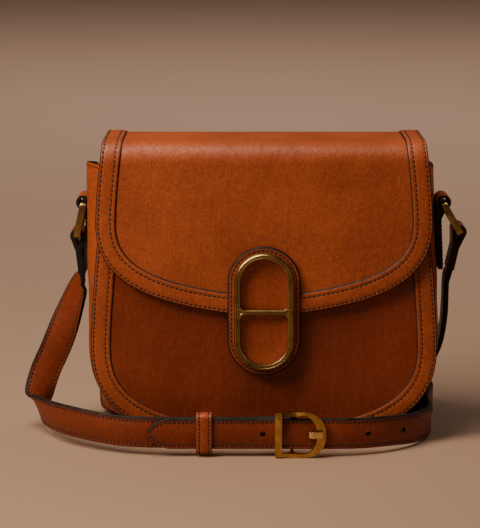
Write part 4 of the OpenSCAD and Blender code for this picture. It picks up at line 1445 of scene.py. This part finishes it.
def strap_holes(curved):
    """Holes along the straight run, and back from it along the curved line."""
    holes = [((x, TIP_Y, RUN_Z), BACK) for x in (PRONG_X + PRONG_HOLE_AHEAD, PRONG_X - HOLE_PITCH)]
    backwards = curved[::-1]
    reach = reaches([place for place, _ in backwards])
    for want in HOLES_BEFORE_RUN:
        k = next(i for i, r in enumerate(reach) if r > want)
        place, way = backwards[k]
        holes.append((place, (backwards[k - 1][0] - place).cross(way)))
    return holes


def make_long_strap():
    """From the right ring down, round behind the bag and along its front to the pointed tip."""
    run = [on_run(TIP_START_X, TIP_Y), on_run(TIP_START_X - FOLD_L, TIP_Y)]
    line = drop_line(1, TILT_RIGHT, END_LEAN, RIGHT_DROP, run)
    holes = strap_holes(line[1:])
    straight = TIP_START_X - TIP_X - POINT_L
    line += [on_run(TIP_START_X - straight * i / RUN_STEPS, TIP_Y) for i in range(1, RUN_STEPS + 1)]
    left = [(1 - i / POINT_STEPS) ** POINT_CROWDING for i in range(1, POINT_STEPS + 1)]
    line += [on_run(TIP_X + POINT_L * share, TIP_Y) for share in left]
    obj, sewn = strap("strap_long", line, tip_half_width, lambda i: STRAP_T)
    bore(obj, holes)
    hand_over(obj, ["strap_right_drop", "strap_tip_run", "strap_tip"],
              "ring_right", RIGHT_BEND)
    hand_over(stitches("strap_long_stitching", sewn, STRAP_STITCH), (),
              "ring_right", RIGHT_BEND)


# The fold round the buckle's pin: distances back from the pin before it and behind it
ENTRY = (8, 4)
ENTRY_OUT = 0.3
TAIL = (4, 9, 15, 22)
TAIL_CLOSING = 0.8
PIN_ROOM = 0.05
UNDER_STEPS = 24
STRAIGHT_TO_PIN = 12


def pin_fold():
    """The skived leather's line, in width and depth, from in front of the pin round to behind the strap."""
    x, y = PIN
    r = PIN_D / 2 + PIN_ROOM + SKIVE_T / 2
    behind = UNDER_Y + STRAP_T / 2 + SKIVE_T / 2
    front = [(x - ENTRY[0], UNDER_Y - ENTRY_OUT), (x - ENTRY[1], UNDER_Y - (STRAP_T - SKIVE_T) / 2)]
    tail = [(x - TAIL[0], y + r * TAIL_CLOSING)] + [(x - back, behind) for back in TAIL[1:]]
    return front + arc(x, y, r, start=-90, end=90, steps=12) + tail


def make_short_strap():
    """From the left ring down, round in front of the bag and through the buckle, folded round its pin."""
    run = [on_run(UNDER_START_X, UNDER_Y), on_run(UNDER_START_X + FOLD_L, UNDER_Y)]
    line = drop_line(-1, TILT_LEFT, LEFT_LEAN, LEFT_DROP, run)
    straight = PIN[0] - STRAIGHT_TO_PIN - UNDER_START_X
    line += [on_run(UNDER_START_X + straight * i / UNDER_STEPS, UNDER_Y) for i in range(1, UNDER_STEPS + 1)]
    full = len(line)
    line += [on_run(x, y) for x, y in pin_fold()]
    obj, sewn = strap("strap_short", line, lambda place: STRAP_W / 2,
                      lambda i: STRAP_T if i < full else SKIVE_T)
    hand_over(obj, ["strap_left_drop", "strap_buckle_run", "strap_buckle_end"],
              "ring_left", LEFT_BEND)
    sewn = [row[:full - 1] for row in sewn]
    hand_over(stitches("strap_short_stitching", sewn, STRAP_STITCH), (),
              "ring_left", LEFT_BEND)


# Keeper and buckle

# The keeper's section along the strap and outwards, and its faces that carry edge paint
KEEPER_FACE = ((-1.0, -0.25), (-1.0, 0.25), (-0.95, 0.42), (-0.84, 0.5), (-0.66, 0.5), (-0.59, 0.40),
               (-0.52, 0.5), (0, 0.54), (0.52, 0.5), (0.59, 0.40), (0.66, 0.5), (0.84, 0.5), (0.95, 0.42),
               (1.0, 0.25), (1.0, -0.25), (0.9, -0.5), (-0.9, -0.5))
KEEPER_PAINTED = (0, 1, 12, 13, 14)
KEEPER_ROW = 0.59
KEEPER_ROW_OUT = 0.44
KEEPER_CORNER_R = 2.6


def make_keeper():
    """A leather loop round both halves of the strap."""
    low, high = (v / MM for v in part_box("keeper"))
    cy, cz = (low.y + high.y) / 2, (low.z + high.z) / 2
    deep, tall = high.y - low.y - KEEPER_T, high.z - low.z - KEEPER_T
    path = rounded_box(deep, tall, KEEPER_CORNER_R, 8)
    rings, rows = [], [[], []]
    for i, (y, z) in enumerate(path):
        t = Vector(path[(i + 1) % len(path)]) - Vector(path[i - 1])
        out = Vector((t.y, -t.x)).normalized()
        place = Vector((KEEPER_X, cy + y, cz + z))
        way = Vector((0, out.x, out.y))

        def at(a, b):
            return place + Vector((a * KEEPER_W / 2, 0, 0)) + way * (b * KEEPER_T)

        rings.append([at(a, b) for a, b in KEEPER_FACE])
        for row, a in zip(rows, (-KEEPER_ROW, KEEPER_ROW)):
            row.append((at(a, KEEPER_ROW_OUT), way))
    obj = loft("keeper_leather", rings, BAND_SKIN, lambda i, j: 1 if j in KEEPER_PAINTED else 0,
               closed=True, angle=ROUNDED_ANGLE)
    hand_over(obj, ["keeper"], "keeper")
    sewn = stitches("keeper_stitching", [row + row[:1] for row in rows], KEEPER_STITCH)
    hand_over(sewn, (), "keeper")


BUCKLE_H = 32.5
BUCKLE_W = 34.8
BUCKLE_T = 3.2
BUCKLE_EDGE_R = 1.0
BAR_FRONT_Y = TIP_Y - STRAP_T / 2 - 0.3
FLAT_BAR_W = 4.7
FLAT_BAR_H = 31
FLAT_BAR_X = PIN[0] - 9.3
FLAT_BAR_OUT = 0.5
FLAT_BAR_R = 0.5
FLAT_BAR_EDGE_R = 0.7
ARM_W = 2.7
ARM_DROP = 0.9
CURVE_W = 6.2
CURVE_SET_BACK = 0.2
CURVE_POWER = 2.15
BUCKLE_RIGHT = FLAT_BAR_X - FLAT_BAR_W / 2 + BUCKLE_W
LUG_W = 5
LUG_H = 1.6
LUG_R = 2.2
LUG_EDGE_R = 0.4
LUG_WALL = 1.2
LUG_LOW_Z = -15.1
LUG_HIGH_Z = 13.5
PIN_LOW_Z = -15.4
PIN_HIGH_Z = 13.8
PIN_EDGE = 0.2


def buckle_outline(inset, end, steps=40):
    """The D of the buckle, from its flat bar round the curve, towards which its arms spread a little."""
    r = BUCKLE_H / 2 - inset
    right = BUCKLE_RIGHT - end
    middle = BUCKLE_RIGHT - BUCKLE_H / 2
    points = [(FLAT_BAR_X, ARM_DROP - r)]
    for i in range(steps + 1):
        a = math.radians(-90 + 180 * i / steps)
        c, s = abs(math.cos(a)) ** (2 / CURVE_POWER), math.sin(a)
        points.append((middle + (right - middle) * c, r * math.copysign(abs(s) ** (2 / CURVE_POWER), s)))
    return points + [(FLAT_BAR_X, r - ARM_DROP)]


def facing_front(y):
    """Puts a flat shape drawn in width and height at depth y, facing the front."""
    return Matrix(((1, 0, 0, 0), (0, 0, 1, y * MM), (0, 1, 0, RUN_Z * MM), (0, 0, 0, 1)))


def make_buckle():
    """A D with a broad curve and a raised flat bar, two lugs behind it, and the pin between them."""
    middle_y = BAR_FRONT_Y - BUCKLE_T / 2
    d_shape = [buckle_outline(0, 0), buckle_outline(ARM_W, CURVE_W)[::-1]]
    curve = plate("buckle_curve", d_shape, BUCKLE_T - 2 * CURVE_SET_BACK, BUCKLE_EDGE_R,
                  facing_front(middle_y + CURVE_SET_BACK), [brass_bright])
    flat = [(x + FLAT_BAR_X, y) for x, y in rounded_box(FLAT_BAR_W, FLAT_BAR_H, FLAT_BAR_R, 3)]
    bar = plate("buckle_bar", [flat], BUCKLE_T + FLAT_BAR_OUT, FLAT_BAR_EDGE_R,
                facing_front(middle_y - FLAT_BAR_OUT / 2), [brass_bright])
    back = PIN[1] + PIN_D / 2 + LUG_WALL
    depth = back - BAR_FRONT_Y + LUG_WALL
    lugs = []
    for up in (LUG_LOW_Z, LUG_HIGH_Z):
        place = Matrix.Translation((PIN[0] * MM, (back - depth / 2) * MM, (RUN_Z + up) * MM))
        lugs.append(plate("buckle_lug", [rounded_box(LUG_W, depth, LUG_R)], LUG_H, LUG_EDGE_R, place,
                          [brass_bright]))
    hand_over(joined("buckle_brass", [curve, bar] + lugs), ["buckle_frame"])
    r = PIN_D / 2
    profile = [(0, PIN_LOW_Z), (r - PIN_EDGE, PIN_LOW_Z), (r, PIN_LOW_Z + PIN_EDGE),
               (r, PIN_HIGH_Z - PIN_EDGE), (r - PIN_EDGE, PIN_HIGH_Z), (0, PIN_HIGH_Z)]
    pin = turned("buckle_pin_brass", profile,
                 lambda x, y, h: Vector((PIN[0] + x, PIN[1] + y, RUN_Z + h)), brass_bright, count=24)
    hand_over(pin, ["buckle_pin"])


TONGUE_T = 2.2
TONGUE_W = 3
TONGUE_EDGE_R = 0.95
TONGUE_ROOM = 0.2
TONGUE_SHORT = 2.5
TONGUE_TIP = 0.8
TONGUE_SPREAD = 1.45
TONGUE_RISE = 0.7
TONGUE_STEPS = 6
EYE_R = 2.65
EYE_SHARE = 0.35


def tongue_line():
    """The prong's middle line, in width and depth, from the eye through the strap to the curve."""
    half = TONGUE_T / 2
    top = BAR_FRONT_Y - BUCKLE_T - TONGUE_ROOM - half
    spots = [Vector(spot) for spot in (
        (PIN[0] - 3, PIN[1]), PIN, (PRONG_X - half, PIN[1]), (PRONG_X + half, TIP_Y - STRAP_T / 2 - half),
        (BUCKLE_RIGHT - 10, top), (BUCKLE_RIGHT - TONGUE_SHORT, top), (BUCKLE_RIGHT, top))]
    line = [spots[1].lerp(spots[2], EYE_SHARE)]
    for i in range(2, 5):
        line += [through(*spots[i - 1:i + 3], j / TONGUE_STEPS) for j in range(TONGUE_STEPS)]
    return line + [spots[5]]


def make_tongue():
    """An eye on the pin, and a prong that bends through the strap and rests on the curve."""
    line = tongue_line()
    left, right = [], []
    for i, p in enumerate(line):
        t = heading(line, i)
        half = TONGUE_T / 2 * (1 if i < len(line) - 2 else TONGUE_TIP)
        left.append(tuple(p + Vector((t.y, -t.x)) * half))
        right.append(tuple(p - Vector((t.y, -t.x)) * half))
    outline = left + right[::-1] + arc(*PIN, EYE_R, start=24, end=336, steps=26)
    hole = arc(*PIN, PIN_D / 2 + PIN_ROOM, start=360, end=15, steps=23)
    place = Matrix.Translation((0, 0, RUN_Z * MM))
    obj = plate("buckle_tongue_brass", [outline, hole], TONGUE_W, TONGUE_EDGE_R, place, [brass_lit_prong])
    for v in obj.data.vertices:
        if v.co.y < (TIP_Y - STRAP_T / 2) * MM:
            v.co.z = (RUN_Z + TONGUE_RISE) * MM + (v.co.z - RUN_Z * MM) * TONGUE_SPREAD
    hand_over(obj, ["buckle_tongue"], "tongue")


# Stage

FLOOR_SIZE = 12
FLOOR_MIDDLE = (0, 2, 0)
FLOOR_SHADES = ((0.306, 0.188, 0.125), (0.326, 0.202, 0.136))
AIR_COLOUR = (0.80, 0.60, 0.43, 1)
AIR_STRENGTH = 0.09

# Lights: name, place, target, size, power and colour
LIGHTS = (
    ("key", (-0.70, -0.48, 0.78), (-0.06, 0, 0.13), 0.34, 10.2, (1.0, 0.86, 0.72)),
    ("over", (-0.32, -0.28, 1.20), (-0.05, 0, 0.16), 0.50, 12.8, (1.0, 0.87, 0.74)),
    ("fill", (1.3, -0.9, 0.5), (0, 0, 0.1), 0.9, 0.6, (1.0, 0.92, 0.85)),
    ("rear", (1.20, 0.70, 1.15), (0, 0, 0.12), 0.7, 5.5, (1.0, 0.90, 0.80)),
    ("backdrop", (0, 1.5, 2.6), (0, 5.5, 0.2), 1.6, 118, (1.0, 0.95, 0.92)),
)
CAMERA_AT = (-0.0165, -1.342, 0.385)
CAMERA_TO = (-0.0165, -0.042, 0.128)
CAMERA_LENS = 131.7


def pale_floor():
    """Plain matt ground, in two near shades."""
    mat, place = new_material("pale_floor")
    shade = mixed(mat, clouds(mat, place, 3, 2), *FLOOR_SHADES)
    shader(mat, {"Base Color": shade, "Roughness": 0.62})
    return mat


def aim(obj, place, target):
    """Puts a light or the camera at its place, looking at target."""
    obj.location = place
    obj.rotation_euler = (Vector(target) - Vector(place)).to_track_quat("-Z", "Y").to_euler()


def soft_light(name, place, target, size, power, colour):
    data = bpy.data.lights.new(name, "AREA")
    data.energy = power
    data.size = size
    data.color = colour
    aim(show(name, data), place, target)


def make_stage():
    bpy.ops.mesh.primitive_plane_add(size=FLOOR_SIZE, location=FLOOR_MIDDLE)
    floor = bpy.context.view_layer.objects.active
    floor.name = "floor"
    floor.data.materials.append(pale_floor())
    world = bpy.data.worlds.new("studio")
    bpy.context.scene.world = world
    world.use_nodes = True
    air = world.node_tree.nodes["Background"].inputs
    air["Color"].default_value = AIR_COLOUR
    air["Strength"].default_value = AIR_STRENGTH
    for light in LIGHTS:
        soft_light(*light)


def make_camera():
    data = bpy.data.cameras.new("camera")
    data.sensor_fit = "VERTICAL"
    data.sensor_height = 36
    data.lens = CAMERA_LENS
    data.clip_start = 0.05
    camera = show("camera", data)
    aim(camera, CAMERA_AT, CAMERA_TO)
    bpy.context.scene.camera = camera


# The whole bag

SIDES = (("left", -1, TILT_LEFT, LEFT_LEAN), ("right", 1, TILT_RIGHT, END_LEAN))

make_camera()
make_front()
make_back()
make_gusset()
make_lining()
make_pocket()
make_base_board()
make_flap()
make_clasp_tab()
make_clasp_frame()
make_snap()
for word, side, tilt, lean in SIDES:
    make_side_tab(word, side)
for word, side, tilt, lean in SIDES:
    make_ring(word, side, tilt)
for word, side, tilt, lean in SIDES:
    make_strap_end(word, side, tilt, lean)
make_long_strap()
make_short_strap()
make_keeper()
make_buckle()
make_tongue()
make_stage()
